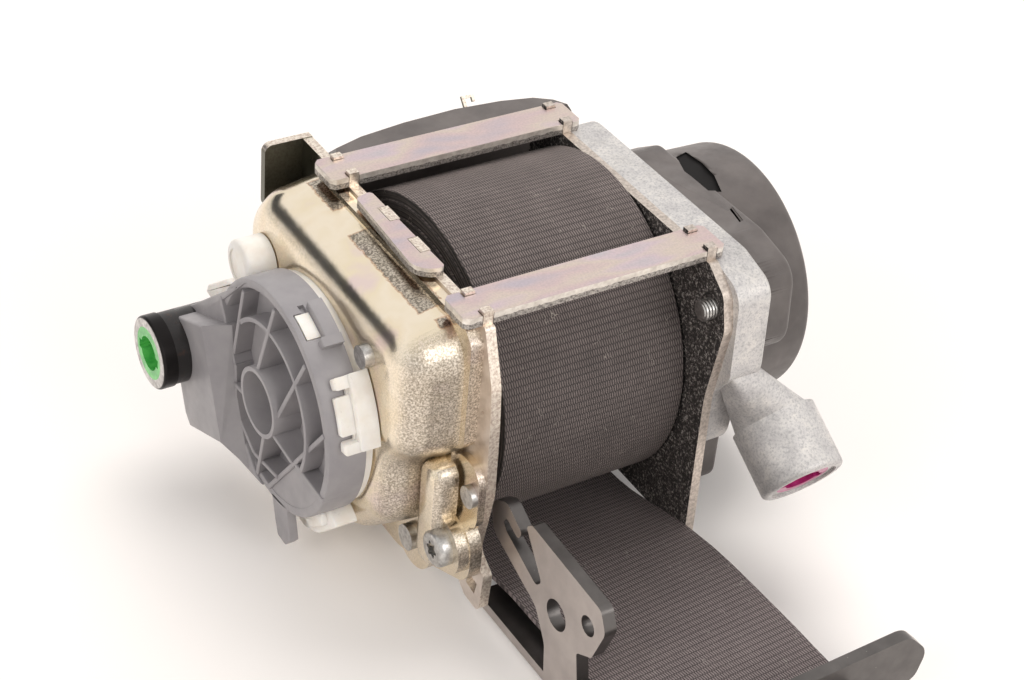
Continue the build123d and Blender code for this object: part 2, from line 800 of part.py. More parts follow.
with BuildPart() as return_spring:
    with BuildSketch(across(spring_start - 0.1)):
        with BuildLine():
            for centre, radius, begin in spiral_edge(spring_strip / 2):
                outer_edge = CenterArc(centre, radius, begin, 180)
            for centre, radius, begin in spiral_edge(-spring_strip / 2):
                inner_edge = CenterArc(centre, radius, begin, 180)
            Line(
                (spring_inner_radius + spring_strip / 2, 0),
                (spring_inner_radius - spring_strip / 2, 0),
            )
            Line(outer_edge @ 1, inner_edge @ 1)
        make_face()
    extrude(amount=0.2 - spring_width)

generator_axis = Plane(
    origin=(generator_end, *generator_place), x_dir=(0, 1, 0), z_dir=(-1, 0, 0)
)
with BuildPart() as spring_cap:
    with BuildSketch(across(cap_skirt_start)):
        Circle(cap_radius)
    extrude(amount=cap_rim_face - cap_skirt_start)
    chamfer(spring_cap.faces().sort_by(Axis.X)[0].edges(), 2.6)
    with BuildSketch(across(cap_rim_face + 7)):
        with BuildLine():
            FilletPolyline(
                (14, 13), (32, 7), (40.6, -3), (38, -33.5), (22, -26.6), (9, -21.5), (4, 0),
                radius=[3, 4, 4, 4, 4, 4, 4], close=True,
            )
        make_face()
    extrude(amount=box_face - cap_rim_face - 7)
    chamfer(spring_cap.faces().sort_by(Axis.X)[0].edges(), 1.6)
    with BuildSketch(across(cap_skirt_start)):
        Circle(cap_radius - cap_wall)
    extrude(amount=cap_floor_face + 1.1 - cap_skirt_start, mode=Mode.SUBTRACT)
    with BuildSketch(across(cap_floor_face)):
        Circle(rib_circle_radius)
    extrude(amount=-20, mode=Mode.SUBTRACT)
    # Hub, radial ribs that fall towards the rim, and the ring that joins them
    with BuildSketch(across(cap_floor_face)):
        Circle(hub_radius)
    extrude(amount=hub_face - cap_floor_face)
    with BuildSketch(Plane.XY) as rib_profile:
        with BuildLine():
            Polyline(
                (cap_floor_face + 0.2, hub_radius - 0.4), (hub_face + 0.5, hub_radius - 0.4),
                (cap_rim_face, rib_circle_radius + 0.4),
                (cap_floor_face + 0.2, rib_circle_radius + 0.4), close=True,
            )
        make_face()
    rib = extrude(to_extrude=rib_profile.sketch, amount=rib_width / 2, both=True, mode=Mode.PRIVATE)
    for rib_number in range(rib_count):
        add(rib.rotate(Axis.X, rib_first_angle + 360 / rib_count * rib_number))
    with BuildSketch(across(cap_floor_face)):
        Circle(rib_ring_radius + rib_width / 2)
        Circle(rib_ring_radius - rib_width / 2, mode=Mode.SUBTRACT)
    extrude(amount=cap_rim_face - cap_floor_face - 1.4)
    with BuildSketch(across(hub_face)):
        Circle(hub_bore_radius)
    extrude(amount=cap_floor_face - hub_face, mode=Mode.SUBTRACT)
    with BuildSketch(across(cap_skirt_start)):
        Circle(shaft_radius + 1)
    extrude(amount=hub_face - cap_skirt_start, mode=Mode.SUBTRACT)
    with BuildSketch(generator_axis):
        Circle(generator_radius + 0.2)
    extrude(amount=-40, mode=Mode.SUBTRACT)

with BuildPart() as gas_generator:
    with BuildSketch(generator_axis.offset(-1.8)):
        Circle(generator_radius - 0.3)
    extrude(amount=cover_face * -1 + generator_end + 1.8)
    fillet(gas_generator.faces().sort_by(Axis.X)[0].edges(), 1.5)
    with BuildSketch(generator_axis):
        Circle(insert_radius)
    extrude(amount=-7, mode=Mode.SUBTRACT)

with BuildPart() as generator_ring:
    with BuildSketch(generator_axis.offset(-3.6)):
        Circle(generator_radius)
        Circle(generator_radius - 0.3, mode=Mode.SUBTRACT)
    extrude(amount=3.6)
    with BuildSketch(generator_axis.offset(-1.8)):
        Circle(generator_radius - 0.3)
        Circle(insert_radius, mode=Mode.SUBTRACT)
    extrude(amount=1.8)
    fillet(generator_ring.faces().sort_by(Axis.X)[0].outer_wire().edges(), 0.8)

generator_insert = socket_insert(generator_axis, 7)

# Fasteners

with BuildPart() as cover_screw:
    with BuildSketch(across(lobe_face)):
        with Locations(screw_place):
            Circle(4.4)
    extrude(amount=-3.0)
    fillet(cover_screw.faces().sort_by(Axis.X)[0].edges(), 1.4)
    with BuildSketch(across(lobe_face - 3.0)):
        with Locations(screw_place):
            RegularPolygon(1.6, 6)
    extrude(amount=1.6, mode=Mode.SUBTRACT)
    with BuildSketch(across(lobe_face)):
        with Locations(screw_place):
            Circle(screw_radius)
    extrude(amount=2.8)

with BuildPart() as cover_rivets:
    with BuildSketch(across(lobe_face)):
        with Locations(lower_rivet_place):
            Circle(3.1)
    extrude(amount=-2)
    with BuildSketch(across(cover_face)):
        with Locations(upper_rivet_place):
            Circle(2.6)
    extrude(amount=-2.2)
    with BuildSketch(across(flange_back + cover_sheet)):
        with Locations((-43.4, -4.6)):
            Circle(2.6)
    extrude(amount=-1.4)

with BuildPart() as housing_screw:
    with BuildSketch(across(right_plate_face)):
        with Locations((-43.6, 27.3)):
            Circle(2.4)
    extrude(amount=-5.2)

# Plastic guard behind the roll, and the small hook on it

with BuildPart() as rear_guard:
    with BuildSketch(across(left_plate_face + 0.2)):
        with BuildLine():
            guard_path = FilletPolyline(
                (rear_bar_edges[1] + 0.8, plate_top - 0.6), (35, plate_top), (43.6, 33),
                (44.6, -29), (34.5, -39.5), radius=[6, 9, 10],
            )
        trace(guard_path, guard_wall)
    extrude(amount=guard_right_end - left_plate_face - 0.2)
    # End wall on the locking side
    with BuildSketch(across(right_plate_back + 0.4)):
        with BuildLine():
            FilletPolyline(
                (33.4, 30), (36, 35), (43.2, 30), (44.6, -28), (36, -37), (33.4, -34),
                radius=2, close=True,
            )
        make_face()
    extrude(amount=guard_wall)
    # The upper and lower corners of its right end are rounded
    with BuildSketch(Plane.XZ):
        with Locations((guard_right_end / 2 - 30, -2)):
            RectangleRounded(guard_right_end + 60, 80.2, 8)
    extrude(amount=-60, mode=Mode.INTERSECT)

with BuildPart() as guard_hook:
    with BuildSketch(Plane.YZ.offset(10.0)):
        with BuildLine():
            hook_path = FilletPolyline(
                (31, plate_top + 1.7), (36.0, plate_top + 1.7), (37.6, plate_top + 4.8),
                (35.6, plate_top + 5.6), radius=[1, 1],
            )
        trace(hook_path, 0.9)
    extrude(amount=3.2)

# Free webbing: a flat strip from under the roll, rising and moving a little to the right

webbing_places = (
    (6.0, -roll_radius - roll_clearance - webbing_thickness / 2, 0.0, 0.0),
    (-16.0, -roll_radius - roll_clearance - webbing_thickness / 2, 0.0, 0.0),
    (-35.0, webbing_lie - 1.5, 0.0, 0.0),
    (-47.5, webbing_lie - 0.8, 0.2, 1.0),
    (-60.0, webbing_lie - 0.1, webbing_sideways, 3.0),
    (-84.0, webbing_lie + 0.4, webbing_sideways, 3.0),
    (-webbing_end, webbing_lie + 0.2, webbing_sideways, 3.0),
)
with BuildPart() as webbing:
    for y, z, sideways, tilt in webbing_places:
        with BuildSketch(Plane(
            origin=(sideways, y, z), x_dir=(cos(radians(tilt)), 0, sin(radians(tilt))),
            z_dir=(0, -1, 0),
        )):
            Rectangle(webbing_width, webbing_thickness)
    loft(ruled=True)

# Bracket that guides the webbing: base, hooked side plate and slotted front plate

bracket_back = -bracket_front + bracket_sheet
bracket_base_start = -38.0
bracket_base_face = -foot_depth + bracket_base_sheet
with BuildPart() as guide_base:
    with BuildSketch(Plane.XY.offset(-foot_depth)):
        with Locations((0.5, (bracket_back + bracket_base_start) / 2)):
            RectangleRounded(54.5, bracket_base_start - bracket_back, 3)
        with Locations((0.5, bracket_back + 2)):
            Rectangle(54.5, 4)
    extrude(amount=bracket_base_sheet)

with BuildPart() as guide_side_plate:
    with BuildSketch(across(-half_webbing - bracket_sheet - 0.25)):
        with BuildLine():
            side_edge = FilletPolyline(
                (-80, bracket_base_face), (-78.5, -31), (-77.2, -24.6), (-82.5, -21.5),
                (-86.0, -12), (-83.6, -7.2), (-56.6, -5.4), (-54.6, -7.2), (-62.2, -17.2),
                (-60.2, -19.4), (-47.4, -14.2), (-46.0, -12.6), (-47.0, -10.8), (-52.0, -13.0),
                (-53.2, -10.4), (-46.5, -6.6), (-41.0, -10.0), (-42.0, -17.6), (-61.0, -24.8),
                (-65.6, -32), (-66.5, bracket_base_face),
                radius=[
                    3, 1.2, 1.2, 3, 2, 1, 1, 1.4, 1.4, 0.8, 0.6, 0.8, 1.2, 1.2, 3, 3.4, 4, 5, 5,
                ],
            )
            Line(side_edge @ 1, side_edge @ 0)
        make_face()
        with Locations((-68.7, -21.0)):
            Circle(bracket_bolt_radius, mode=Mode.SUBTRACT)
        with Locations((-79.9, -14.6)):
            Circle(bracket_pin_radius, mode=Mode.SUBTRACT)
    extrude(amount=bracket_sheet)

with BuildPart() as guide_front_plate:
    with BuildSketch(Plane.XZ.offset(-bracket_back)):
        with BuildLine():
            FilletPolyline(
                (-26.7, -foot_depth), (-26.7, -24), (37.2, -20.4), (43.3, -26.8), (41.5, -33.5),
                (29, -foot_depth), radius=[3, 4, 5, 5, 3, 3], close=True,
            )
        make_face()
        with Locations((webbing_sideways, webbing_lie + 0.3)):
            RectangleRounded(webbing_width + 3.2, 6.4, 1.5, mode=Mode.SUBTRACT)
    extrude(amount=bracket_sheet)

everything = [
    ("left_plate", left_plate), ("right_plate", right_plate), ("front_tie_bar", front_bar),
    ("rear_tie_bar", rear_bar), ("lower_tie_bar", lower_bar), ("edge_strip", edge_strip),
    ("drive_base_plate", drive_base_plate), ("drive_cover", drive_cover),
    ("drive_wheel", drive_wheel), ("drive_balls", drive_balls), ("ball_race", ball_race),
    ("left_bush", left_bush), ("spool", spool), ("webbing_roll", webbing_roll),
    ("torsion_bar", torsion_bar), ("spring_arbor", spring_arbor), ("lock_ring", lock_ring),
    ("lock_pawl", lock_pawl), ("locking_head", locking_head), ("control_disc", control_disc),
    ("right_housing", right_housing), ("limiter_igniter", limiter_igniter),
    ("limiter_insert", limiter_insert), ("sensor_cover", sensor_cover),
    ("right_bush", right_bush), ("round_cap", round_cap), ("flywheel", flywheel),
    ("sensor_housing", sensor_housing), ("sensor_ball", sensor_ball),
    ("sensor_lever", sensor_lever), ("spring_carrier", spring_carrier),
    ("carrier_boss", carrier_boss), ("return_spring", return_spring),
    ("spring_cap", spring_cap), ("gas_generator", gas_generator),
    ("generator_ring", generator_ring), ("generator_insert", generator_insert),
    ("cover_screw", cover_screw), ("cover_rivets", cover_rivets),
    ("housing_screw", housing_screw), ("rear_guard", rear_guard), ("guard_hook", guard_hook),
    ("webbing", webbing), ("guide_base", guide_base), ("guide_side_plate", guide_side_plate),
    ("guide_front_plate", guide_front_plate),
]
for name, piece in everything:
    piece.part.label = name
    export_step(piece.part.moved(stand), f"parts/{name}.step")
    print(name, round(piece.part.volume, 1), len(piece.part.solids()))
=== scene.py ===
from math import cos, pi, radians, sin

import bmesh
import bpy
from mathutils import Matrix, Vector


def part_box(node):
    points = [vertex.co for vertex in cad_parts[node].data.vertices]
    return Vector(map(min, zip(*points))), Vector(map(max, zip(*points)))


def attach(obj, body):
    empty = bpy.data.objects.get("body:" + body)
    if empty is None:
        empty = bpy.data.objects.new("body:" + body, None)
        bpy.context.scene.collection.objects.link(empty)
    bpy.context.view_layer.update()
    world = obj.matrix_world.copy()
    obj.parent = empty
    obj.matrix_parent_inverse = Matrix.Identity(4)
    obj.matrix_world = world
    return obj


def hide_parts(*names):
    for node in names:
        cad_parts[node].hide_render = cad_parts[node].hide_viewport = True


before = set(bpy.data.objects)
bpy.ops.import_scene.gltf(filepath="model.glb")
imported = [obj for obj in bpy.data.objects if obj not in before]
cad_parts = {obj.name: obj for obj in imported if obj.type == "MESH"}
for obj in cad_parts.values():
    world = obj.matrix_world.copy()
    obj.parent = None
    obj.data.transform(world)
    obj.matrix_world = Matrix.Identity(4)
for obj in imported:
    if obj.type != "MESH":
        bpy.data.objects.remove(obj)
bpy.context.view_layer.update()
bpy.ops.object.select_all(action="DESELECT")

# Blender's sizes are in metres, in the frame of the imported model. The places and sizes written below are
# a drawing's millimetres, turned into metres by MM: x along the spool's axis to the right, y to the rear
# and z up, from the spool's centre.
MM = 0.001

# Webbing: half its width, its thickness, the length that is seen, and the radius that it is wound to
HALF_WEBBING, WEBBING_SHEET, STRIP_LENGTH, ROLL_RADIUS = 23.5, 1.2, 112.3, 38.9
# Its stitches: their pitch across it, their slant along a row, the width of a row on the free strip, and
# the number of rows round the roll
STITCH_PITCH, STITCH_SLANT, STRIP_ROW, ROLL_ROWS = 0.60, 0.30, 1.6, 154

# The spool's centre in that frame: the webbing roll is centred on it
roll_low, roll_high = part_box("webbing_roll")
SPOOL = (roll_low + roll_high) / 2


def at(x, y, z):
    """A point given in millimetres from the spool's centre."""
    return SPOOL + Vector((x, y, z)) * MM


# Camera: fitted to the photograph's plates, bars and roll

camera_data = bpy.data.cameras.new("camera")
camera = bpy.data.objects.new("camera", camera_data)
bpy.context.scene.collection.objects.link(camera)
camera_data.sensor_width = 36.0
camera_data.lens = 76.337
camera_data.clip_start = 0.01
camera_data.clip_end = 20.0
camera_place = at(-230.56, -339.41, 294.21)
camera_turn = Matrix((
    (0.85197, 0.25231, -0.45869),
    (-0.51780, 0.53438, -0.66805),
    (0.07657, 0.80667, 0.58602),
))
camera.matrix_world = Matrix.Translation(camera_place) @ camera_turn.to_4x4()
bpy.context.scene.camera = camera
bpy.context.scene.view_settings.view_transform = "Standard"


# Finishes

# Sockets of the Mix node when it mixes colours: its factor, its two colours and its result
MIX_SHARE, MIX_FIRST, MIX_SECOND, MIX_RESULT = 0, 6, 7, 2


class Finish:
    """A procedural material that is built up node by node."""

    def __init__(self, name):
        self.material = bpy.data.materials.new(name)
        self.material.use_nodes = True
        self.tree = self.material.node_tree
        self.shader = self.tree.nodes["Principled BSDF"]
        self.place = self.tree.nodes.new("ShaderNodeTexCoord")

    def join(self, source, target):
        self.tree.links.new(source, target)

    def node(self, kind, **settings):
        made = self.tree.nodes.new(kind)
        for key, value in settings.items():
            setattr(made, key, value)
        return made

    def where(self, scale=(1, 1, 1), turn=(0, 0, 0), centre=(0, 0, 0)):
        """The place on the piece, moved, turned or stretched."""
        mapping = self.node("ShaderNodeMapping")
        mapping.inputs["Location"].default_value = centre
        mapping.inputs["Rotation"].default_value = turn
        mapping.inputs["Scale"].default_value = scale
        self.join(self.place.outputs["Object"], mapping.inputs["Vector"])
        return mapping.outputs["Vector"]

    def from_spool(self):
        """The place on the piece, counted from the spool's centre."""
        return self.where(centre=tuple(-SPOOL))

    def noise(self, size, detail=4.0, roughness=0.55, vector=None):
        """Cloudy noise; size is the width of a cloud in millimetres."""
        made = self.node("ShaderNodeTexNoise")
        made.inputs["Scale"].default_value = 1.0 / (size * MM)
        made.inputs["Detail"].default_value = detail
        made.inputs["Roughness"].default_value = roughness
        self.join(vector or self.place.outputs["Object"], made.inputs["Vector"])
        return made.outputs["Fac"]

    def cells(self, size, vector=None):
        """Distance from the nearest of many strewn points; size is about what lies between them."""
        made = self.node("ShaderNodeTexVoronoi")
        made.inputs["Scale"].default_value = 1.0 / (size * MM)
        self.join(vector or self.place.outputs["Object"], made.inputs["Vector"])
        return made.outputs["Distance"]

    def ramp(self, source, *stops):
        """Colours (or greys) along a value; each stop is (place, colour)."""
        made = self.node("ShaderNodeValToRGB")
        elements = made.color_ramp.elements
        while len(elements) < len(stops):
            elements.new(0.5)
        for element, (place, colour) in zip(elements, stops):
            element.position = place
            grey = isinstance(colour, (int, float))
            element.color = (colour, colour, colour, 1) if grey else (*colour, 1)
        self.join(source, made.inputs["Fac"])
        return made.outputs["Color"]

    def blend(self, share, first, second, how="MIX"):
        """A share of the second colour on the first; a number stands for a grey."""
        made = self.node("ShaderNodeMix", data_type="RGBA", blend_type=how)
        for source, index in ((share, MIX_SHARE), (first, MIX_FIRST), (second, MIX_SECOND)):
            if isinstance(source, (int, float)):
                grey = (source,) * 3 + (1,)
                made.inputs[index].default_value = source if index == MIX_SHARE else grey
            elif isinstance(source, tuple):
                made.inputs[index].default_value = (*source, 1)
            else:
                self.join(source, made.inputs[index])
        return made.outputs[MIX_RESULT]

    def sums(self, operation, first, second=0.0, clamp=False):
        """A sum done on one or two values; the second is of no account where the sum takes one."""
        made = self.node("ShaderNodeMath", operation=operation, use_clamp=clamp)
        for source, index in ((first, 0), (second, 1)):
            if isinstance(source, (int, float)):
                made.inputs[index].default_value = source
            else:
                self.join(source, made.inputs[index])
        return made.outputs[0]

    def part_of(self, source, axis):
        """One coordinate of a vector."""
        made = self.node("ShaderNodeSeparateXYZ")
        self.join(source, made.inputs[0])
        return made.outputs[axis]

    def facing(self, axis):
        """How squarely the surface faces along an axis, either way, from 0 to 1."""
        geometry = self.node("ShaderNodeNewGeometry")
        return self.sums("ABSOLUTE", self.part_of(geometry.outputs["True Normal"], axis))

    def faces(self, axis, first=0.6, last=0.8):
        """1 on the faces that look along an axis, 0 on those that look elsewhere."""
        return self.ramp(self.facing(axis), (first, 0.0), (last, 1.0))

    def colour(self, source):
        if isinstance(source, tuple):
            self.shader.inputs["Base Color"].default_value = (*source, 1)
        else:
            self.join(source, self.shader.inputs["Base Color"])

    def rough(self, source):
        if isinstance(source, (int, float)):
            self.shader.inputs["Roughness"].default_value = source
        else:
            self.join(source, self.shader.inputs["Roughness"])

    def bumps(self, *layers):
        """Bump layers, each (height, strength, depth in millimetres), one upon the other."""
        normal = None
        for height, strength, depth in layers:
            made = self.node("ShaderNodeBump")
            made.inputs["Strength"].default_value = strength
            made.inputs["Distance"].default_value = depth * MM
            self.join(height, made.inputs["Height"])
            if normal is not None:
                self.join(normal, made.inputs["Normal"])
            normal = made.outputs["Normal"]
        self.join(normal, self.shader.inputs["Normal"])

    def set(self, **values):
        """Sets the shader's own sockets, named with _ for a space."""
        for key, value in values.items():
            self.shader.inputs[key.replace("_", " ")].default_value = value
        return self


def zinc_plate_finish():
    """Bright zinc on sheet steel; the sheared edges are lighter and torn."""
    f = Finish("zinc_plate").set(Metallic=1.0)
    mottle = f.noise(5, 5)
    grain = f.noise(0.35, 3)
    face = f.ramp(
        mottle, (0.3, (0.60, 0.53, 0.48)), (0.5, (0.74, 0.66, 0.60)), (0.72, (0.84, 0.77, 0.71)),
    )
    edge = f.ramp(f.noise(0.6, 4), (0.3, (0.58, 0.46, 0.38)), (0.6, (0.98, 0.90, 0.79)))
    # The bent ear behind is painted a dark olive on all but its upward faces, which sets in over two
    # millimetres
    ear_start = 32.0
    rearward = f.part_of(f.from_spool(), 1)
    ear = f.sums("MULTIPLY", f.sums("SUBTRACT", rearward, ear_start * MM), 0.5 / MM, clamp=True)
    is_face = f.faces(0)
    ear_darkening = f.sums("MULTIPLY", ear, f.ramp(f.facing(2), (0.3, 0.9), (0.6, 0.0)))
    f.colour(f.blend(ear_darkening, f.blend(is_face, edge, face), (0.085, 0.090, 0.065)))
    f.rough(f.blend(is_face, 0.42, f.ramp(mottle, (0.3, 0.26), (0.7, 0.42))))
    f.bumps((grain, 0.25, 0.05), (f.noise(1.4, 2), 0.25, 0.06))
    return f.material


def right_plate_finish():
    """The same sheet, grainy as sandpaper; its faces are painted near black as painted shade and dark
    reflection on zinc; the edges stay bright.
    """
    f = Finish("right_plate_shaded")
    grain = f.cells(0.42)
    speck = f.ramp(
        f.noise(0.6, 2, 0.7), (0.46, (0.022, 0.019, 0.018)), (0.57, (0.10, 0.088, 0.082)),
        (0.67, (0.42, 0.385, 0.36)),
    )
    edge = f.ramp(f.noise(0.7, 4), (0.3, (0.46, 0.40, 0.35)), (0.65, (0.78, 0.70, 0.63)))
    is_face = f.faces(0)
    # Faces painted near black: painted shade and dark reflection
    f.colour(f.blend(is_face, edge, speck))
    f.join(f.blend(is_face, 0.95, 0.1), f.shader.inputs["Metallic"])
    f.rough(f.blend(is_face, 0.40, 0.62))
    f.bumps((f.sums("MULTIPLY", grain, is_face), 0.8, 0.22), (f.noise(1.2, 3), 0.3, 0.08))
    return f.material


def zinc_bar_finish():
    """Zinc with a thin pinkish, in places bluish, sheen; grey torn metal low on the edges."""
    f = Finish("zinc_bar").set(Metallic=0.85)
    sheen = f.noise(9, 2, 0.5, f.where(scale=(0.35, 1, 1)))
    top = f.ramp(
        sheen, (0.32, (0.62, 0.55, 0.60)), (0.44, (0.74, 0.59, 0.58)), (0.53, (0.77, 0.66, 0.58)),
        (0.61, (0.74, 0.61, 0.64)), (0.70, (0.62, 0.59, 0.62)),
    )
    fine = f.noise(0.5, 3)
    top = f.blend(0.25, top, f.ramp(fine, (0.35, 0.45), (0.65, 0.95)), "MULTIPLY")
    torn = f.ramp(f.noise(0.45, 4), (0.35, (0.17, 0.155, 0.145)), (0.62, (0.58, 0.54, 0.50)))
    shorn = f.ramp(f.noise(1.6, 3), (0.35, (0.72, 0.66, 0.60)), (0.65, (0.94, 0.89, 0.82)))
    height = f.part_of(f.place.outputs["Object"], 2)
    bar_low, bar_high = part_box("front_tie_bar")
    middle = (bar_low.z + bar_high.z) / 2
    waver = f.sums("MULTIPLY", f.noise(1.5, 3), 0.9 * MM)
    low = f.sums("LESS_THAN", f.sums("ADD", height, waver), middle + 0.4 * MM)
    side = f.blend(low, shorn, torn)
    is_top = f.faces(2, first=0.5)
    f.colour(f.blend(is_top, side, top))
    f.rough(f.blend(is_top, 0.5, f.ramp(fine, (0.3, 0.30), (0.7, 0.44))))
    f.bumps((fine, 0.2, 0.05), (f.noise(3, 3), 0.15, 0.1))
    return f.material


# Dark patches painted on top of the drive cover, beside the plate, as painted shadow and reflection of the
# strip and bar ends above: the least x and y, and the greatest
STRIP_SHADOW_PATCHES = (
    ((-38.3, 14.5), (-33.0, 27.5)),
    ((-39.7, -26.5), (-34.5, 5.0)),
    ((-37.8, -32.6), (-35.0, -30.0)),
)


def shadow_patch_gap(f, x, y, low, high):
    """How far a point lies outside a patch with a ragged edge, from 0 to 1 over two millimetres."""
    gap = -1.0
    for source, first, last in ((x, low[0], high[0]), (y, low[1], high[1])):
        off = f.sums("ABSOLUTE", f.sums("SUBTRACT", source, (first + last) / 2 * MM))
        gap = f.sums("MAXIMUM", gap, f.sums("SUBTRACT", off, (last - first) / 2 * MM))
    ragged = f.sums("ADD", gap, f.sums("MULTIPLY", f.noise(1.4, 4, 0.65), 1.6 * MM))
    return f.sums("MULTIPLY", ragged, 0.5 / MM, clamp=True)


def chromate_finish():
    """Pale yellow chromate on drawn steel: smooth and glossy, speckled where the wall was stretched."""
    f = Finish("chromate_cover").set(Metallic=1.0)
    cloud = f.noise(15, 3, 0.5)
    yellow = f.ramp(
        cloud, (0.30, (0.83, 0.69, 0.64)), (0.40, (0.88, 0.77, 0.58)), (0.52, (0.92, 0.82, 0.66)),
        (0.62, (0.89, 0.77, 0.58)), (0.72, (0.85, 0.68, 0.62)),
    )
    speck = f.noise(0.42, 3, 0.65)
    wall = f.faces(1, 0.35, 0.75)
    side = f.ramp(f.facing(0), (0.55, 0.0), (0.85, 0.3))
    stretched = f.sums("MAXIMUM", wall, side)
    silver = f.ramp(
        speck, (0.40, (0.17, 0.145, 0.12)), (0.50, (0.45, 0.39, 0.33)), (0.64, (0.82, 0.76, 0.69)),
    )
    finish = f.blend(f.sums("MULTIPLY", stretched, 0.75), yellow, silver)
    # The patches are painted shadow and reflection, dark and speckled, with a rusty rim
    place = f.from_spool()
    x, y = f.part_of(place, 0), f.part_of(place, 1)
    near = 1.0
    for low, high in STRIP_SHADOW_PATCHES:
        near = f.sums("MINIMUM", near, shadow_patch_gap(f, x, y, low, high))
    on_top = f.faces(2, first=0.5)
    rim = f.sums("MULTIPLY", f.ramp(near, (0.18, 0.0), (0.36, 0.6), (0.52, 0.0)), on_top)
    inside = f.sums("MULTIPLY", f.ramp(near, (0.22, 0.85), (0.42, 0.0)), on_top)
    patch_shadow_speckle = f.ramp(f.noise(0.5, 3, 0.7), (0.44, (0.10, 0.085, 0.07)), (0.58, (0.58, 0.52, 0.44)))
    finish = f.blend(inside, finish, patch_shadow_speckle)
    f.colour(f.blend(rim, finish, (0.50, 0.27, 0.15)))
    f.rough(f.blend(stretched, f.ramp(cloud, (0.3, 0.13), (0.7, 0.2)), 0.34))
    height = f.sums("MULTIPLY", speck, f.sums("ADD", f.sums("MULTIPLY", stretched, 0.8), 0.2))
    f.bumps((height, 0.45, 0.12), (f.noise(2.4, 2), 0.18, 0.12))
    return f.material


def cast_finish():
    """Die-cast aluminium: matte light grey, mottled, with darker stains."""
    f = Finish("cast_aluminium").set(Metallic=0.55)
    cloud = f.noise(4.5, 6, 0.65)
    stain = f.ramp(f.noise(11, 4, 0.6), (0.50, 1.0), (0.68, 0.82))
    base = f.ramp(
        cloud, (0.30, (0.62, 0.61, 0.62)), (0.50, (0.72, 0.71, 0.71)), (0.68, (0.82, 0.80, 0.78)),
    )
    grains = f.ramp(
        f.noise(0.55, 3, 0.7), (0.36, (0.58, 0.57, 0.57)), (0.50, (0.92, 0.90, 0.88)),
        (0.62, (1.0, 0.98, 0.94)),
    )
    base = f.blend(0.7, base, grains, "MULTIPLY")
    f.colour(f.blend(1.0, base, stain, "MULTIPLY"))
    f.rough(f.ramp(cloud, (0.3, 0.62), (0.7, 0.46)))
    f.bumps((f.noise(0.5, 3), 0.35, 0.08), (cloud, 0.3, 0.25))
    return f.material


def moulded_finish(name, dark, light, roughness, dust, dust_share):
    """Moulded plastic with a fine grain and a little dust and scuffing."""
    f = Finish(name)
    cloud = f.noise(9, 4)
    base = f.ramp(cloud, (0.35, dark), (0.68, light))
    scuff = f.ramp(f.noise(1.1, 5, 0.75), (0.60, 0.0), (0.74, dust_share))
    f.colour(f.blend(scuff, base, dust))
    f.rough(f.ramp(f.noise(2.5, 3), (0.3, roughness - 0.06), (0.7, roughness + 0.08)))
    f.bumps((f.noise(0.28, 2), 0.18, 0.03), (f.noise(6, 2), 0.12, 0.2))
    return f.material


def nylon_finish():
    """Natural white nylon, faintly yellow and letting some light through."""
    f = Finish("white_nylon").set(Subsurface_Weight=0.25, Subsurface_Scale=2 * MM)
    f.shader.inputs["Subsurface Radius"].default_value = (1.0, 0.8, 0.6)
    cloud = f.noise(5, 3)
    base = f.ramp(cloud, (0.35, (0.86, 0.81, 0.74)), (0.65, (0.95, 0.92, 0.87)))
    grime = f.ramp(f.noise(1.4, 5, 0.7), (0.62, 0.0), (0.78, 0.4))
    f.colour(f.blend(grime, base, (0.45, 0.38, 0.30)))
    f.rough(0.42)
    f.bumps((f.noise(2.0, 2), 0.15, 0.12),)
    return f.material


def black_paint_finish():
    """Semi-gloss black on steel, with lint and dust; the broad faces are paler than the edges."""
    f = Finish("black_steel").set(Metallic=0.9)
    lint = f.ramp(f.cells(3.4, f.where(turn=(0.4, 0.7, 0.2))), (0.035, 0.45), (0.055, 0.0))
    face = f.ramp(f.noise(7, 4), (0.3, (0.42, 0.375, 0.355)), (0.7, (0.53, 0.48, 0.45)))
    edge = f.ramp(f.noise(7, 4), (0.3, (0.12, 0.112, 0.108)), (0.7, (0.18, 0.168, 0.162)))
    is_face = f.faces(0)
    f.colour(f.blend(lint, f.blend(is_face, edge, face), (0.40, 0.37, 0.34)))
    f.rough(f.ramp(f.noise(3, 4), (0.3, 0.30), (0.7, 0.42)))
    f.bumps((f.noise(0.8, 3), 0.12, 0.05),)
    return f.material


def steel_finish():
    """Bare steel, a little stained."""
    f = Finish("plain_steel").set(Metallic=1.0)
    cloud = f.noise(1.3, 5, 0.65)
    f.colour(f.ramp(cloud, (0.32, (0.34, 0.33, 0.32)), (0.62, (0.62, 0.61, 0.59))))
    f.rough(f.ramp(cloud, (0.3, 0.44), (0.7, 0.26)))
    f.bumps((f.noise(0.4, 3), 0.2, 0.05),)
    return f.material


def generator_finish():
    """Blackened steel tube with a brown bloom of rust."""
    f = Finish("black_tube").set(Metallic=0.3)
    rust = f.ramp(f.noise(2.6, 5, 0.7), (0.56, 0.0), (0.74, 0.6))
    f.colour(f.blend(rust, (0.022, 0.020, 0.020), (0.10, 0.045, 0.028)))
    f.rough(f.ramp(f.noise(3, 4), (0.3, 0.24), (0.7, 0.45)))
    f.bumps((f.noise(0.6, 3), 0.2, 0.05),)
    return f.material


def crimp_finish():
    """Blackened all round; its end face is bare."""
    f = Finish("crimp_ring").set(Metallic=0.9)
    is_end = f.faces(0, 0.86, 0.95)
    bare = f.ramp(f.noise(1.3, 4), (0.3, (0.34, 0.32, 0.31)), (0.7, (0.70, 0.68, 0.66)))
    f.colour(f.blend(is_end, (0.020, 0.018, 0.018), bare))
    f.rough(0.36)
    f.bumps((f.noise(0.6, 3), 0.15, 0.05),)
    return f.material


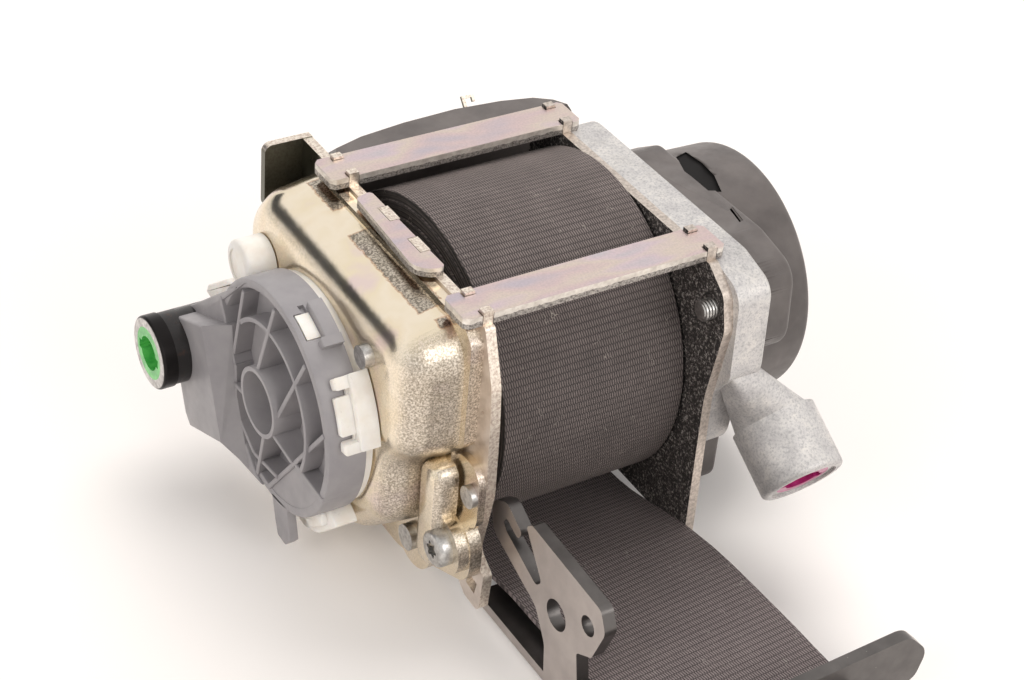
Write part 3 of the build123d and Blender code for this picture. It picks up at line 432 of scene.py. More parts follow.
def gloss_finish(name, dark, light):
    """Glossy coloured plastic of the socket inserts."""
    f = Finish(name).set(Coat_Weight=0.3)
    f.colour(f.ramp(f.noise(2.2, 4), (0.35, dark), (0.65, light)))
    f.rough(0.34)
    f.bumps((f.noise(0.9, 2), 0.1, 0.05),)
    return f.material


def weave_steps(f, across, along, row_width):
    """Height of short slanting stitches in rows; each row starts half a stitch further on."""
    step = f.sums("DIVIDE", along, row_width * MM)
    row = f.sums("FLOOR", step)
    in_row = f.sums("FRACT", step)
    run = f.sums("DIVIDE", across, STITCH_PITCH * MM)
    run = f.sums("ADD", run, f.sums("MULTIPLY", in_row, STITCH_SLANT))
    run = f.sums("ADD", run, f.sums("MULTIPLY", row, STITCH_SLANT + 0.5))
    swing = f.sums("SINE", f.sums("MULTIPLY", run, 2 * pi))
    wave = f.sums("ADD", f.sums("MULTIPLY", swing, 0.5), 0.5)
    edge = f.sums("POWER", f.sums("SINE", f.sums("MULTIPLY", in_row, pi)), 0.45)
    return f.sums("MULTIPLY", wave, edge)


def lint_share(f, size):
    """Thin fibres of lint at all angles, drawn where a cloudy noise passes its middle value."""
    waver = f.noise(size, 2, 0.5)
    band = f.sums("ABSOLUTE", f.sums("SUBTRACT", waver, 0.5))
    thread = f.ramp(band, (0.0, 1.0), (0.006, 0.0))
    some = f.ramp(f.noise(size * 0.8, 2, 0.5), (0.60, 0.0), (0.64, 1.0))
    return f.sums("MULTIPLY", thread, some)


def roll_finish():
    """The wound webbing: dusty, its stitches in rows round the roll; its ends show the layers."""
    f = Finish("roll_fabric").set(Sheen_Weight=0.25, Sheen_Roughness=0.5)
    f.shader.inputs["Sheen Tint"].default_value = (0.55, 0.48, 0.44, 1)
    place = f.from_spool()
    x, y, z = (f.part_of(place, axis) for axis in range(3))
    turn = f.sums("ARCTAN2", y, z)
    along = f.sums("MULTIPLY", turn, ROLL_RADIUS * MM)
    weave = weave_steps(f, x, along, 2 * pi * ROLL_RADIUS / ROLL_ROWS)
    uneven = f.noise(9, 4, 0.6)
    # Colour follows the stitch height: the hollows between stitches are painted darker, as painted shade
    base = f.ramp(weave, (0.10, (0.036, 0.030, 0.030)), (0.75, (0.190, 0.157, 0.150)))
    haze = f.sums("MULTIPLY", f.ramp(uneven, (0.36, 0.12), (0.66, 1.0)), weave)
    base = f.blend(f.sums("MULTIPLY", haze, 0.42), base, (0.38, 0.315, 0.30))
    # Ends: one dark line of painted shade between each two turns
    radius = f.sums("SQRT", f.sums("ADD", f.sums("MULTIPLY", y, y), f.sums("MULTIPLY", z, z)))
    turns = f.sums("FRACT", f.sums("DIVIDE", radius, WEBBING_SHEET * MM))
    layer = f.ramp(turns, (0.0, 0.1), (0.25, 1.0), (0.75, 1.0), (1.0, 0.1))
    dusty = f.ramp(f.noise(3, 4), (0.3, (0.010, 0.009, 0.009)), (0.7, (0.050, 0.043, 0.040)))
    end = f.blend(1.0, dusty, layer, "MULTIPLY")
    is_end = f.faces(0)
    base = f.blend(is_end, base, end)
    f.colour(f.blend(lint_share(f, 5), base, (0.40, 0.36, 0.32)))
    f.rough(0.72)
    height = f.blend(is_end, weave, layer)
    f.bumps((height, 0.75, 0.24), (f.noise(0.25, 3), 0.3, 0.05))
    return f.material


def strip_finish():
    """The free webbing: black and fine, with the same stitches. Its UV map is the flat strip."""
    f = Finish("strip_fabric").set(Sheen_Weight=0.2, Sheen_Roughness=0.5)
    f.shader.inputs["Sheen Tint"].default_value = (0.5, 0.45, 0.42, 1)
    uv = f.place.outputs["UV"]
    over = f.sums("MULTIPLY", f.part_of(uv, 0), 2 * HALF_WEBBING * MM)
    along = f.sums("MULTIPLY", f.part_of(uv, 1), STRIP_LENGTH * MM)
    weave = weave_steps(f, over, along, STRIP_ROW)
    # Colour follows the stitch height: the hollows between stitches are painted darker, as painted shade
    base = f.ramp(weave, (0.10, (0.058, 0.048, 0.048)), (0.75, (0.275, 0.228, 0.228)))
    haze = f.sums("MULTIPLY", f.ramp(f.noise(9, 4, 0.6), (0.40, 0.1), (0.7, 1.0)), weave)
    base = f.blend(f.sums("MULTIPLY", haze, 0.35), base, (0.36, 0.30, 0.29))
    specks = f.ramp(f.cells(4.5), (0.030, 0.8), (0.045, 0.0))
    base = f.blend(lint_share(f, 4), base, (0.40, 0.37, 0.34))
    f.colour(f.blend(specks, base, (0.42, 0.40, 0.38)))
    f.rough(0.7)
    f.bumps((weave, 0.7, 0.2), (f.noise(0.25, 3), 0.3, 0.05))
    return f.material


zinc_plate = zinc_plate_finish()
right_plate_shaded = right_plate_finish()
zinc_bar = zinc_bar_finish()
chromate = chromate_finish()
cast_aluminium = cast_finish()
grey_plastic = moulded_finish(
    "grey_plastic", dark=(0.290, 0.276, 0.288), light=(0.355, 0.338, 0.346), roughness=0.42,
    dust=(0.46, 0.42, 0.40), dust_share=0.18,
)
dark_plastic = moulded_finish(
    "dark_plastic", dark=(0.105, 0.092, 0.088), light=(0.155, 0.137, 0.130), roughness=0.44,
    dust=(0.26, 0.21, 0.18), dust_share=0.22,
)
nylon = nylon_finish()
black_steel = black_paint_finish()
plain_steel = steel_finish()
black_tube = generator_finish()
green_plastic = gloss_finish("green_plastic", (0.06, 0.42, 0.08), (0.16, 0.66, 0.16))
magenta_plastic = gloss_finish("magenta_plastic", (0.42, 0.02, 0.16), (0.62, 0.05, 0.26))
roll_fabric = roll_finish()
strip_fabric = strip_finish()
crimp_ring = crimp_finish()

NODE_FINISH = {
    "left_plate": zinc_plate, "right_plate": right_plate_shaded, "front_tie_bar": zinc_bar,
    "rear_tie_bar": zinc_bar, "lower_tie_bar": zinc_bar, "edge_strip": zinc_bar,
    "drive_base_plate": chromate, "drive_cover": chromate, "drive_wheel": plain_steel,
    "drive_balls": plain_steel, "ball_race": plain_steel, "left_bush": nylon,
    "spool": cast_aluminium, "torsion_bar": plain_steel, "spring_arbor": dark_plastic,
    "lock_ring": plain_steel, "lock_pawl": plain_steel, "locking_head": cast_aluminium,
    "control_disc": nylon, "right_housing": cast_aluminium, "limiter_igniter": plain_steel,
    "limiter_insert": magenta_plastic, "sensor_cover": dark_plastic, "right_bush": nylon,
    "round_cap": dark_plastic, "flywheel": plain_steel, "sensor_housing": nylon,
    "sensor_ball": plain_steel, "sensor_lever": nylon, "spring_carrier": nylon,
    "carrier_boss": nylon, "return_spring": plain_steel, "spring_cap": grey_plastic,
    "gas_generator": black_tube, "generator_ring": crimp_ring,
    "generator_insert": green_plastic, "cover_screw": plain_steel, "cover_rivets": plain_steel,
    "housing_screw": plain_steel, "rear_guard": dark_plastic, "guard_hook": zinc_plate,
    "guide_base": black_steel, "guide_side_plate": black_steel, "guide_front_plate": black_steel,
    "webbing_roll": roll_fabric, "webbing": strip_fabric,
}
# Edges sharper than this stay sharp; the guard and the webbing take the wider angle
SMOOTH_ANGLE, WIDE_SMOOTH_ANGLE = radians(32), radians(40)


def select_only(piece):
    bpy.ops.object.select_all(action="DESELECT")
    piece.select_set(True)
    bpy.context.view_layer.objects.active = piece


def dress(piece, finish):
    piece.data.materials.clear()
    piece.data.materials.append(finish)


for node_name, finish in NODE_FINISH.items():
    node_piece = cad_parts[node_name]
    dress(node_piece, finish)
    select_only(node_piece)
    bpy.ops.object.shade_smooth_by_angle(angle=SMOOTH_ANGLE)
bpy.ops.object.select_all(action="DESELECT")


# Modelling: each piece starts from a flat outline across the spool axis

def edit(piece):
    """Opens a piece in edit mode; leave() ends it."""
    select_only(piece)
    bpy.ops.object.mode_set(mode="EDIT")


def pick(test, kind="FACE"):
    """Selects the faces, edges or points whose middle, in millimetres from the spool, meets a test."""
    bpy.ops.mesh.select_mode(type=kind)
    bpy.ops.mesh.select_all(action="DESELECT")
    mesh = bmesh.from_edit_mesh(bpy.context.object.data)
    parts = {"FACE": mesh.faces, "EDGE": mesh.edges, "VERT": mesh.verts}[kind]
    for part in parts:
        corners = [part.co] if kind == "VERT" else [vertex.co for vertex in part.verts]
        middle = sum(corners, Vector()) / len(corners)
        normal = part.normal if kind == "FACE" else Vector()
        if test((middle - SPOOL) / MM, normal):
            part.select_set(True)
    bmesh.update_edit_mesh(bpy.context.object.data)


def leave():
    """Turns all faces outwards and leaves edit mode."""
    bpy.ops.mesh.select_mode(type="FACE")
    bpy.ops.mesh.select_all(action="SELECT")
    bpy.ops.mesh.normals_make_consistent(inside=False)
    bpy.ops.object.mode_set(mode="OBJECT")


def block(name, corners, way, corner=0.0, edge=0.0):
    """A flat outline of points, drawn out along a way; corner rounds the outline's corners, and edge
    rounds the rim of its far face."""
    bpy.ops.object.select_all(action="DESELECT")
    bpy.ops.mesh.primitive_circle_add(vertices=len(corners), fill_type="NGON")
    piece = bpy.context.object
    piece.name = name
    for vertex, place in zip(piece.data.vertices, corners):
        vertex.co = place
    edit(piece)
    bpy.ops.mesh.select_all(action="SELECT")
    if corner:
        bpy.ops.mesh.bevel(offset=corner * MM, segments=3, affect="VERTICES")
        bpy.ops.mesh.select_all(action="SELECT")
    bpy.ops.mesh.extrude_region_move(TRANSFORM_OT_translate={"value": tuple(way)})
    if edge:
        bpy.ops.mesh.region_to_loop()
        bpy.ops.mesh.bevel(offset=edge * MM, segments=3, affect="EDGES")
    leave()
    return piece


def slab(name, outline, start, end, corner=0.0, edge=0.0):
    """A block across the spool axis, from x = start to end; its outline is (y, z) in millimetres."""
    corners = [at(start, y, z) for y, z in outline]
    return block(name, corners, ((end - start) * MM, 0, 0), corner, edge)


def ring(radius, y=0.0, z=0.0, corners=64):
    """Outline of a circle about (y, z)."""
    turns = [2 * pi * corner / corners for corner in range(corners)]
    return [(y + radius * cos(turn), z + radius * sin(turn)) for turn in turns]


def sector(inner, outer, first, last, steps=10):
    """Outline of part of a ring about the spool axis, between two angles in degrees."""
    turns = [radians(first + (last - first) * step / steps) for step in range(steps + 1)]
    outside = [(outer * cos(turn), outer * sin(turn)) for turn in turns]
    return outside + [(inner * cos(turn), inner * sin(turn)) for turn in reversed(turns)]


def tube(name, outer, inner, start, end, edge=0.0, corners=64):
    """A round slab about the spool axis with a round hole through it; edge rounds its far rims."""
    piece = slab(name, ring(outer, corners=corners), start, end)
    edit(piece)
    pick(lambda place, normal: abs(normal.x) > 0.9)
    bpy.ops.mesh.inset(thickness=(outer - inner) * MM, use_individual=True)
    bpy.ops.mesh.bridge_edge_loops()
    if edge:
        pick(lambda place, normal: normal.x * (end - start) > 0.9 * abs(end - start))
        bpy.ops.mesh.region_to_loop()
        bpy.ops.mesh.bevel(offset=edge * MM, segments=2, affect="EDGES")
    leave()
    return piece


RIB_WIDTH = 1.1


def rib(name, first, last, floor, first_top, last_top):
    """A bar that stands on a floor between two points, (y, z); its top edge may slope."""
    run = Vector(last) - Vector(first)
    side = Vector((-run.y, run.x)).normalized() * RIB_WIDTH / 2
    corners = [Vector(first) + side, Vector(first) - side, Vector(last) - side, Vector(last) + side]
    piece = slab(name, [tuple(corner) for corner in corners], floor, first_top)
    edit(piece)
    far = Vector(last)
    pick(
        lambda place, normal: abs(place.x - first_top) < 0.01 and (place.yz - far).length < RIB_WIDTH,
        "VERT",
    )
    bpy.ops.transform.translate(value=((last_top - first_top) * MM, 0, 0))
    pick(lambda place, normal: normal.x < -0.7)
    bpy.ops.mesh.bevel(offset=0.2 * MM, segments=1, affect="EDGES")
    leave()
    return piece


def join(name, *pieces):
    """Makes one piece of several."""
    bpy.ops.object.select_all(action="DESELECT")
    for piece in pieces:
        piece.select_set(True)
    bpy.context.view_layer.objects.active = pieces[0]
    bpy.ops.object.join()
    joined = bpy.context.object
    joined.name = name
    return joined


def carve(piece, cutter, how="DIFFERENCE"):
    """Cuts a piece with another, which is used up."""
    select_only(piece)
    modifier = piece.modifiers.new("carve", "BOOLEAN")
    modifier.operation = how
    modifier.solver = "EXACT"
    modifier.object = cutter
    bpy.ops.object.modifier_apply(modifier="carve")
    bpy.data.objects.remove(cutter)
    return piece


def mount(piece, finish, body, *nodes, smooth=SMOOTH_ANGLE):
    """Gives a finished piece its material, its body, and the nodes that it stands for."""
    dress(piece, finish)
    select_only(piece)
    bpy.ops.object.shade_smooth_by_angle(angle=smooth)
    bpy.ops.object.select_all(action="DESELECT")
    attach(piece, body)
    if nodes:
        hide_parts(*nodes)


# Ribbed grey cap over the return spring, with the stepped box on its rear side

CAP_RADIUS = 27.4
# Levels along x: the skirt's foot, the floor, the rim and the hub's end, and then the box's
CAP_SKIRT, CAP_FLOOR, CAP_RIM, HUB_TOP = -51.0, -56.4, -60.0, -63.4
BOX_FOOT, BOX_BASE, BOX_TOP = -58.0, -60.6, -65.4

skirt = tube("cap_skirt", CAP_RADIUS, 25.0, CAP_SKIRT, CAP_RIM, edge=0.7, corners=96)
window = slab("window", sector(26.0, 30.0, 104.4, 119.0), -55.1, -58.6)
skirt = carve(skirt, window)
notch = slab("notch", sector(26.6, 30.0, 100.0, 104.6, 2), -55.2, -56.6)
skirt = carve(skirt, notch)

cap_floor = slab("cap_floor", ring(26.0, corners=96), CAP_SKIRT - 2, CAP_FLOOR)
in_cap = [(23.9, 11.4), (18.0, 0.3), (16.6, -8.0), (16.0, -16.0), (11.4, -21.2), (6.0, -25.7)]
outside_cap = [
    (3.0, -26.8), (31.0, -30.0), (36.0, -27.0), (42.5, -6.0), (41.4, -1.2), (12.8, 23.0), (16, 19.6),
]
box_base = slab("box_base", in_cap + outside_cap, CAP_SKIRT, BOX_BASE, edge=0.35)
crease_top, crease_foot = (24.5, 5.4), (14.4, -20.9)
raised = slab(
    "box_raised", [(42.3, -4.8), (41.6, -2.4), crease_top, crease_foot, (31.9, -28.1), (34.2, -26.0)],
    BOX_FOOT, BOX_TOP,
)
edit(raised)
pick(lambda place, normal: place.x < BOX_TOP + 0.05 and place.y > 25, "EDGE")
bpy.ops.mesh.bevel(offset=0.6 * MM, segments=3, affect="EDGES")
leave()
box_slope = slab(
    "box_slope", [crease_top, (18.6, 8.0), (16.8, -8.0), (9.4, -26.6), crease_foot], BOX_FOOT, BOX_TOP,
)
edit(box_slope)
# The three corners in front of the crease go down to the base
pick(
    lambda place, normal: place.x < BOX_TOP + 0.05 and abs(place.y - 14) < 5
    and (place.yz - Vector(crease_foot)).length > 0.1,
    "VERT",
)
bpy.ops.transform.translate(value=((BOX_BASE - BOX_TOP) * MM, 0, 0))
leave()

hub = tube("hub", 8.3, 7.2, CAP_FLOOR, HUB_TOP, edge=0.15)
ring_rib = slab("ring_rib", sector(17.7, 18.8, 41, 206, 40), CAP_FLOOR, -61.0, edge=0.15)
flush = slab(
    "flush_part",
    [
        (-11.5, -9.2), (-25.4, -10.2), (-22.6, -15.6), (-17.4, -21.0), (-10.8, -24.9), (-3.0, -26.6),
        (0.2, -25.4),
    ],
    CAP_FLOOR, -59.7,
)
# Ribs: both ends, (y, z), and the levels of their tops there
RIBS = (
    ((1.3, 8.0), (-1.0, 24.6), -62.9, -60.3),
    ((-8.0, 1.6), (-15.6, 19.6), -62.6, -60.3),
    ((-24.9, 7.4), (0.3, -25.4), -60.4, -60.4),
    ((-6.6, -4.6), (-11.6, -9.4), -62.9, -60.8),
    ((-2.0, -8.0), (6.0, -25.7), -62.9, -60.4),
    ((-4.6, -18.6), (7.0, -20.2), -60.8, -60.8),
    ((7.0, -20.2), (16.4, -14.6), -60.8, -60.8),
    ((7.2, -3.2), (18.4, -7.8), -62.9, -60.8),
    ((17.7, 1.0), (13.8, 20.2), -60.8, -60.4),
    ((-11.6, -9.4), (-25.4, -10.0), -60.3, -60.3),
    ((24.6, 12.0), (16.9, -1.6), -60.9, -60.9),
    ((16.6, -1.4), (16.2, -15.0), -60.9, -60.9),
)
ribs = [rib("rib", first, last, CAP_FLOOR, *tops) for first, last, *tops in RIBS]
# Raised block on the skirt with its hooked end, and the hook below the rim
hook_foot = CAP_SKIRT - 0.4
hook_block = slab("hook_block", sector(27.0, 28.9, 101.4, 121.0), hook_foot, -54.9, edge=0.4)
hook_lip = slab("hook_lip", sector(26.6, 29.4, 120.4, 124.8, 4), hook_foot, -56.3, edge=0.4)
low_hook = slab(
    "low_hook",
    [
        (-0.8, -26.0), (-1.9, -29.3), (-3.0, -33.2), (-4.2, -36.2), (-8.0, -36.4), (-10.4, -33.6),
        (-9.0, -28.6), (-8.4, -25.0),
    ],
    -57.8, CAP_RIM, corner=0.4, edge=0.3,
)
ribbed_cap = join(
    "ribbed_cap", skirt, cap_floor, box_base, raised, box_slope, hub, ring_rib, flush, *ribs,
    hook_block, hook_lip, low_hook,
)
mount(ribbed_cap, grey_plastic, "frame", "spring_cap")

# White carrier behind the cap: its disc, the clips that hold the cap, and the lug at the rear

CLIP_IN, CLIP_OUT = CAP_RADIUS + 0.3, CAP_RADIUS + 3.3
CARRIER_BACK, CLIP_STEP = -49.2, -53.0
carrier_disc = slab("carrier_disc", ring(26.6, corners=96), -49.0, CAP_SKIRT + 0.05)
bow = slab("bow", sector(CLIP_IN, CLIP_OUT, 138.2, 171.0), CARRIER_BACK, -53.9, edge=0.5)
top_hook = slab("top_hook", sector(CLIP_IN, CLIP_OUT - 0.6, 138.4, 143.6, 4), CLIP_STEP, -57.2, edge=0.6)
foot_hook = slab(
    "foot_hook", sector(CLIP_IN, CLIP_OUT - 0.6, 166.6, 171.6, 4), CLIP_STEP, -57.4, edge=0.6,
)
tongue = slab("tongue", sector(CLIP_IN - 0.1, CLIP_IN + 1.4, 146.5, 163.6), CLIP_STEP, -57.6, edge=0.5)
bow_web = slab("bow_web", sector(CLIP_IN, CLIP_IN + 0.9, 143.0, 167.0), CARRIER_BACK, -54.4)
window_tongue = slab("window_tongue", sector(26.3, 27.3, 104.9, 118.5), -52.0, -58.3)
low_clip = slab(
    "low_clip",
    [
        (4.2, -27.6), (-0.2, -33.2), (-7.1, -33.8), (-13.4, -30.9), (-22.0, -22.4), (-18.0, -20.0),
        (-4.0, -25.0),
    ],
    CARRIER_BACK, -54.6, corner=1.0, edge=0.5,
)
low_clip_bump = slab(
    "low_clip_bump", [(-8.6, -28.6), (-12.0, -29.6), (-18.0, -24.6), (-17.0, -21.6), (-12.0, -24.6)],
    -54.0, -56.0, corner=0.8, edge=0.5,
)
rear_lug = slab(
    "rear_lug", [(47.2, -2.8), (46.2, -0.4), (36.2, 7.4), (33.0, 8.0), (34.4, 5.2), (44.0, -3.4)],
    CARRIER_BACK, -53.8, corner=0.5, edge=0.4,
)
carrier = join(
    "carrier_with_clips", carrier_disc, bow, top_hook, foot_hook, tongue, bow_web, window_tongue,
    low_clip, low_clip_bump, rear_lug,
)
mount(carrier, nylon, "frame", "spring_carrier")

# White boss beside it, its end dished round a raised middle
boss_cup = slab("boss_cup", ring(6.0, 25.2, 18.6), CARRIER_BACK, -56.0, edge=0.9)
edit(boss_cup)
pick(lambda place, normal: normal.x < -0.95)
for inward, sunk_by in ((1.5, 0.7), (1.2, -0.5)):
    bpy.ops.mesh.inset(thickness=inward * MM)
    bpy.ops.mesh.extrude_region_move(TRANSFORM_OT_translate={"value": (sunk_by * MM, 0, 0)})
leave()
mount(boss_cup, nylon, "frame", "carrier_boss")

# Webbing: the wound roll with its layered ends, and the free strip that leaves it underneath

SELVEDGE = 0.45
wound = slab("wound_webbing", ring(ROLL_RADIUS, corners=160), -HALF_WEBBING, HALF_WEBBING, edge=SELVEDGE)
edit(wound)
pick(lambda place, normal: abs(place.x + HALF_WEBBING) < 0.01, "EDGE")
bpy.ops.mesh.bevel(offset=SELVEDGE * MM, segments=3, affect="EDGES")
# Each turn of the webbing stands a little in or out of its neighbours: half of these, in millimetres
turn_steps = [0.35, -0.5, 0.3, 0.4, -0.6, 0.25, -0.3, 0.5, -0.2, 0.3, -0.45, 0.2, 0.3, -0.3, 0.2, -0.2]
STEP_WALL = 0.25
for side in (-1, 1):
    pick(lambda place, normal: normal.x * side > 0.9 and place.yz.length < 1)
    bpy.ops.mesh.inset(thickness=0.5 * MM)
    for step in turn_steps:
        bpy.ops.mesh.inset(thickness=STEP_WALL * MM, depth=-step * 0.5 * MM)
        bpy.ops.mesh.inset(thickness=(WEBBING_SHEET - STEP_WALL) * MM)
leave()
mount(wound, roll_fabric, "spool", "webbing_roll", smooth=WIDE_SMOOTH_ANGLE)

# The free strip, made flat and then laid along its way: (distance, y, z) of its middle line. It drifts
# to the right and its right edge rises, and a small ripple runs along it.
STRIP_WAY = (
    (0, -6.0, -39.9), (14, -20.0, -39.0), (26, -32.0, -37.0), (40, -46.0, -34.6), (56, -62.0, -34.0),
    (STRIP_LENGTH, -118.0, -34.2),
)
STRIP_DRIFT, STRIP_TILT, STRIP_RIPPLE = 2.2, 1.9, 0.18
bpy.ops.object.select_all(action="DESELECT")
bpy.ops.mesh.primitive_grid_add(x_subdivisions=24, y_subdivisions=90, size=2, calc_uvs=True)
strip = bpy.context.object
strip.name = "free_webbing"


def lay_strip(across, along):
    """Place of a point of the strip; across runs from -1 to 1 and along from 0 to 1."""
    distance = along * STRIP_LENGTH
    for (start, *low), (end, *high) in zip(STRIP_WAY, STRIP_WAY[1:]):
        if distance <= end + 0.001:
            share = (distance - start) / (end - start)
            y, z = [a + (b - a) * share for a, b in zip(low, high)]
            break
    drift = STRIP_DRIFT * min(1.0, max(0.0, (distance - 20) / 60)) ** 0.9
    tilt = STRIP_TILT * min(1.0, max(0.0, (distance - 20) / 30))
    ripple = STRIP_RIPPLE * sin(distance * 0.11 + across * 1.3)
    return at(across * HALF_WEBBING + drift, y, z + tilt * across + ripple)


for vertex in strip.data.vertices:
    vertex.co = lay_strip(vertex.co.x, (1 - vertex.co.y) / 2)
smooth_way = strip.modifiers.new("ease", "SMOOTH")
smooth_way.factor, smooth_way.iterations = 0.5, 3
smooth_way.use_x = False
thicken = strip.modifiers.new("thickness", "SOLIDIFY")
thicken.thickness = WEBBING_SHEET * MM
thicken.offset = 0.0
select_only(strip)
bpy.ops.object.modifier_apply(modifier="ease")
bpy.ops.object.modifier_apply(modifier="thickness")
edit(strip)
leave()
mount(strip, strip_fabric, "frame", "webbing", smooth=WIDE_SMOOTH_ANGLE)

# Dark guard behind the roll, open in front, its top edge crowned

GUARD_LEFT, GUARD_RIGHT = -29.3, 39.4
guard = slab(
    "guard", [(19.0, 37.6), (44.6, 37.6), (45.6, -29.0), (35.2, -40.6), (19.0, -40.6)],
    GUARD_LEFT, GUARD_RIGHT,
)
edit(guard)
pick(lambda place, normal: place.y > 40 and place.z > 35 and abs(place.x - 5) < 5, "EDGE")
bpy.ops.mesh.bevel(offset=6.0 * MM, segments=6, affect="EDGES")
leave()
# The crown is cut by an outline, (x, height), that stands upright in the camera's view, and the cut runs
# along the view
UPRIGHT = Vector((0, 0.659, 0.752))
ALONG_VIEW = Vector((0, -0.752, 0.659))
CROWN = (
    (GUARD_LEFT, 48.6), (-27.6, 50.4), (-20, 51.9), (-8, 52.9), (6, 53.3), (18, 52.6), (26, 51.4),
    (30, 49.6), (33, 46.4), (36, 42.6), (GUARD_RIGHT, 40.2), (GUARD_RIGHT, -70), (GUARD_LEFT, -70),
)
CUT_REACH = 70
crown_corners = [at(x, 0, 0) + (UPRIGHT * height - ALONG_VIEW * CUT_REACH) * MM for x, height in CROWN]
crown_block = block("crown_block", crown_corners, ALONG_VIEW * 2 * CUT_REACH * MM)
guard = carve(guard, crown_block, "INTERSECT")
hollow = slab(
    "hollow", [(10.0, 35.2), (42.6, 35.2), (43.4, -28.0), (34.0, -38.4), (10.0, -38.4)],
    GUARD_LEFT + 2.1, GUARD_RIGHT - 2.2,
)
guard = carve(guard, hollow)
for outline in (
    [(0, 34.0), (33.6, 34.0), (33.6, -50.0), (0, -50.0)],
    [(0, 60.0), (29.2, 60.0), (29.2, 20.0), (0, 20.0)],
):
    guard = carve(guard, slab("front_cut", outline, -60, 60))
edit(guard)
leave()
mount(guard, dark_plastic, "frame", "rear_guard", smooth=WIDE_SMOOTH_ANGLE)

# Small wire clip on the guard's crown
hairpin = [(0, 0), (0, 3), (3.3, 3), (3.3, 1.2), (2.6, 1.2), (2.6, 2.3), (0.8, 2.3), (0.8, 0)]
clip_foot = at(10.5, 40.6, 35.3)
clip = block(
    "wire_clip", [clip_foot + Vector((x * MM, 0, 0)) + UPRIGHT * height * MM for x, height in hairpin],
    ALONG_VIEW * -0.8 * MM,
)
mount(clip, zinc_plate, "frame", "guard_hook")

# Housing screw: its threaded tip stands out of the right plate's inner face
screw_low, screw_high = [(corner - SPOOL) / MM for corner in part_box("housing_screw")]
screw_y, screw_z = (screw_low + screw_high).yz / 2
shank = slab("shank", ring(2.3, screw_y, screw_z, 32), screw_high.x, 24.0)
core = slab("core", ring(2.0, screw_y, screw_z, 32), 24.4, 20.8, edge=0.4)
crest = ring(2.42, screw_y, screw_z, 32)
threads = [slab("thread", crest, x + 0.5, x, edge=0.2) for x in (23.5, 22.7, 21.9, 21.1)]
mount(join("threaded_tip", shank, core, *threads), plain_steel, "frame", "housing_screw")

# Cover screw: low round head with a six-lobed recess
head_low, head_high = [(corner - SPOOL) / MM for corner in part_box("cover_screw")]
head_y, head_z = (head_low + head_high).yz / 2
head_radius = (head_high.y - head_low.y) / 2
head = slab("screw_head", ring(head_radius, head_y, head_z, 48), -37.7, head_low.x, edge=1.1)
LOBE_RADIUS, LOBE_SWING, LOBE_STEPS = 1.75, 0.38, 48
lobes = []
for step in range(LOBE_STEPS):
    turn = 2 * pi * step / LOBE_STEPS
    reach = LOBE_RADIUS + LOBE_SWING * cos(6 * turn)
    lobes.append((head_y + reach * cos(turn), head_z + reach * sin(turn)))
head = carve(head, slab("recess", lobes, head_low.x - 1, head_low.x + 1.4))
stem = slab("stem", ring(2.2, head_y, head_z, 32), -37.8, head_high.x)
mount(join("round_head_screw", head, stem), plain_steel, "frame", "cover_screw")

# Rounded upright bead on the drive cover's foot
bead = slab(
    "foot_bead", [(-31.3, -27.5), (-39.1, -27.5), (-39.1, 0.0), (-31.3, 0.0)], -34.6, -40.4,
    corner=3.3, edge=2.2,
)
mount(bead, chromate, "frame")

# Sensor side: the latch window and a slot beside it, cut where the cover meets the round cap's rim

TO_VIEWER = Vector((-0.53, -0.64, 0.556)).normalized()
RIM_RADIUS = 31.4
# Outlines on the rim: (x, angle in degrees about the spool axis)
LATCH = (
    (49.7, 76), (53.7, 73), (53.0, 87), (52.6, 97), (51.1, 107), (47.8, 105), (46.9, 95), (46.6, 90),
)
SLOT = ((49.8, 116.5), (50.9, 116.0), (51.6, 123.0), (50.5, 123.5))
# How far a cut and its dark floor of painted shade reach from the rim, towards the viewer and away
CUT_SPAN, FLOOR_SPAN = (14.0, 2.6), (-1.6, 2.8)


def sunk(name, outline, above, below):
    """A block through an outline on the rim that lies along the way to the viewer."""
    corners = []
    for x, degrees in outline:
        turn = radians(degrees)
        on_rim = at(x, RIM_RADIUS * cos(turn), RIM_RADIUS * sin(turn))
        corners.append(on_rim + TO_VIEWER * above * MM)
    return block(name, corners, TO_VIEWER * -(above + below) * MM)


# The cut goes into merged copies of both nodes, which stand for them
for node_name in ("round_cap", "sensor_cover"):
    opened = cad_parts[node_name].copy()
    opened.data = opened.data.copy()
    opened.name = node_name + "_opened"
    bpy.context.scene.collection.objects.link(opened)
    edit(opened)
    bpy.ops.mesh.select_all(action="SELECT")
    bpy.ops.mesh.remove_doubles(threshold=0.001 * MM)
    leave()
    for outline in (LATCH, SLOT):
        opened = carve(opened, sunk("rim_cut", outline, *CUT_SPAN))
    mount(opened, dark_plastic, "frame", node_name)
# Dark floors of painted shade, set inside the cuts
floors = [sunk("rim_floor", outline, *FLOOR_SPAN) for outline in (LATCH, SLOT)]
latch_floor = join("latch_floor", *floors)
unlit = Finish("latch_painted_shade")
unlit.colour((0.010, 0.009, 0.009))
unlit.rough(0.9)
mount(latch_floor, unlit.material, "frame")

# Room: pale floor, soft lights

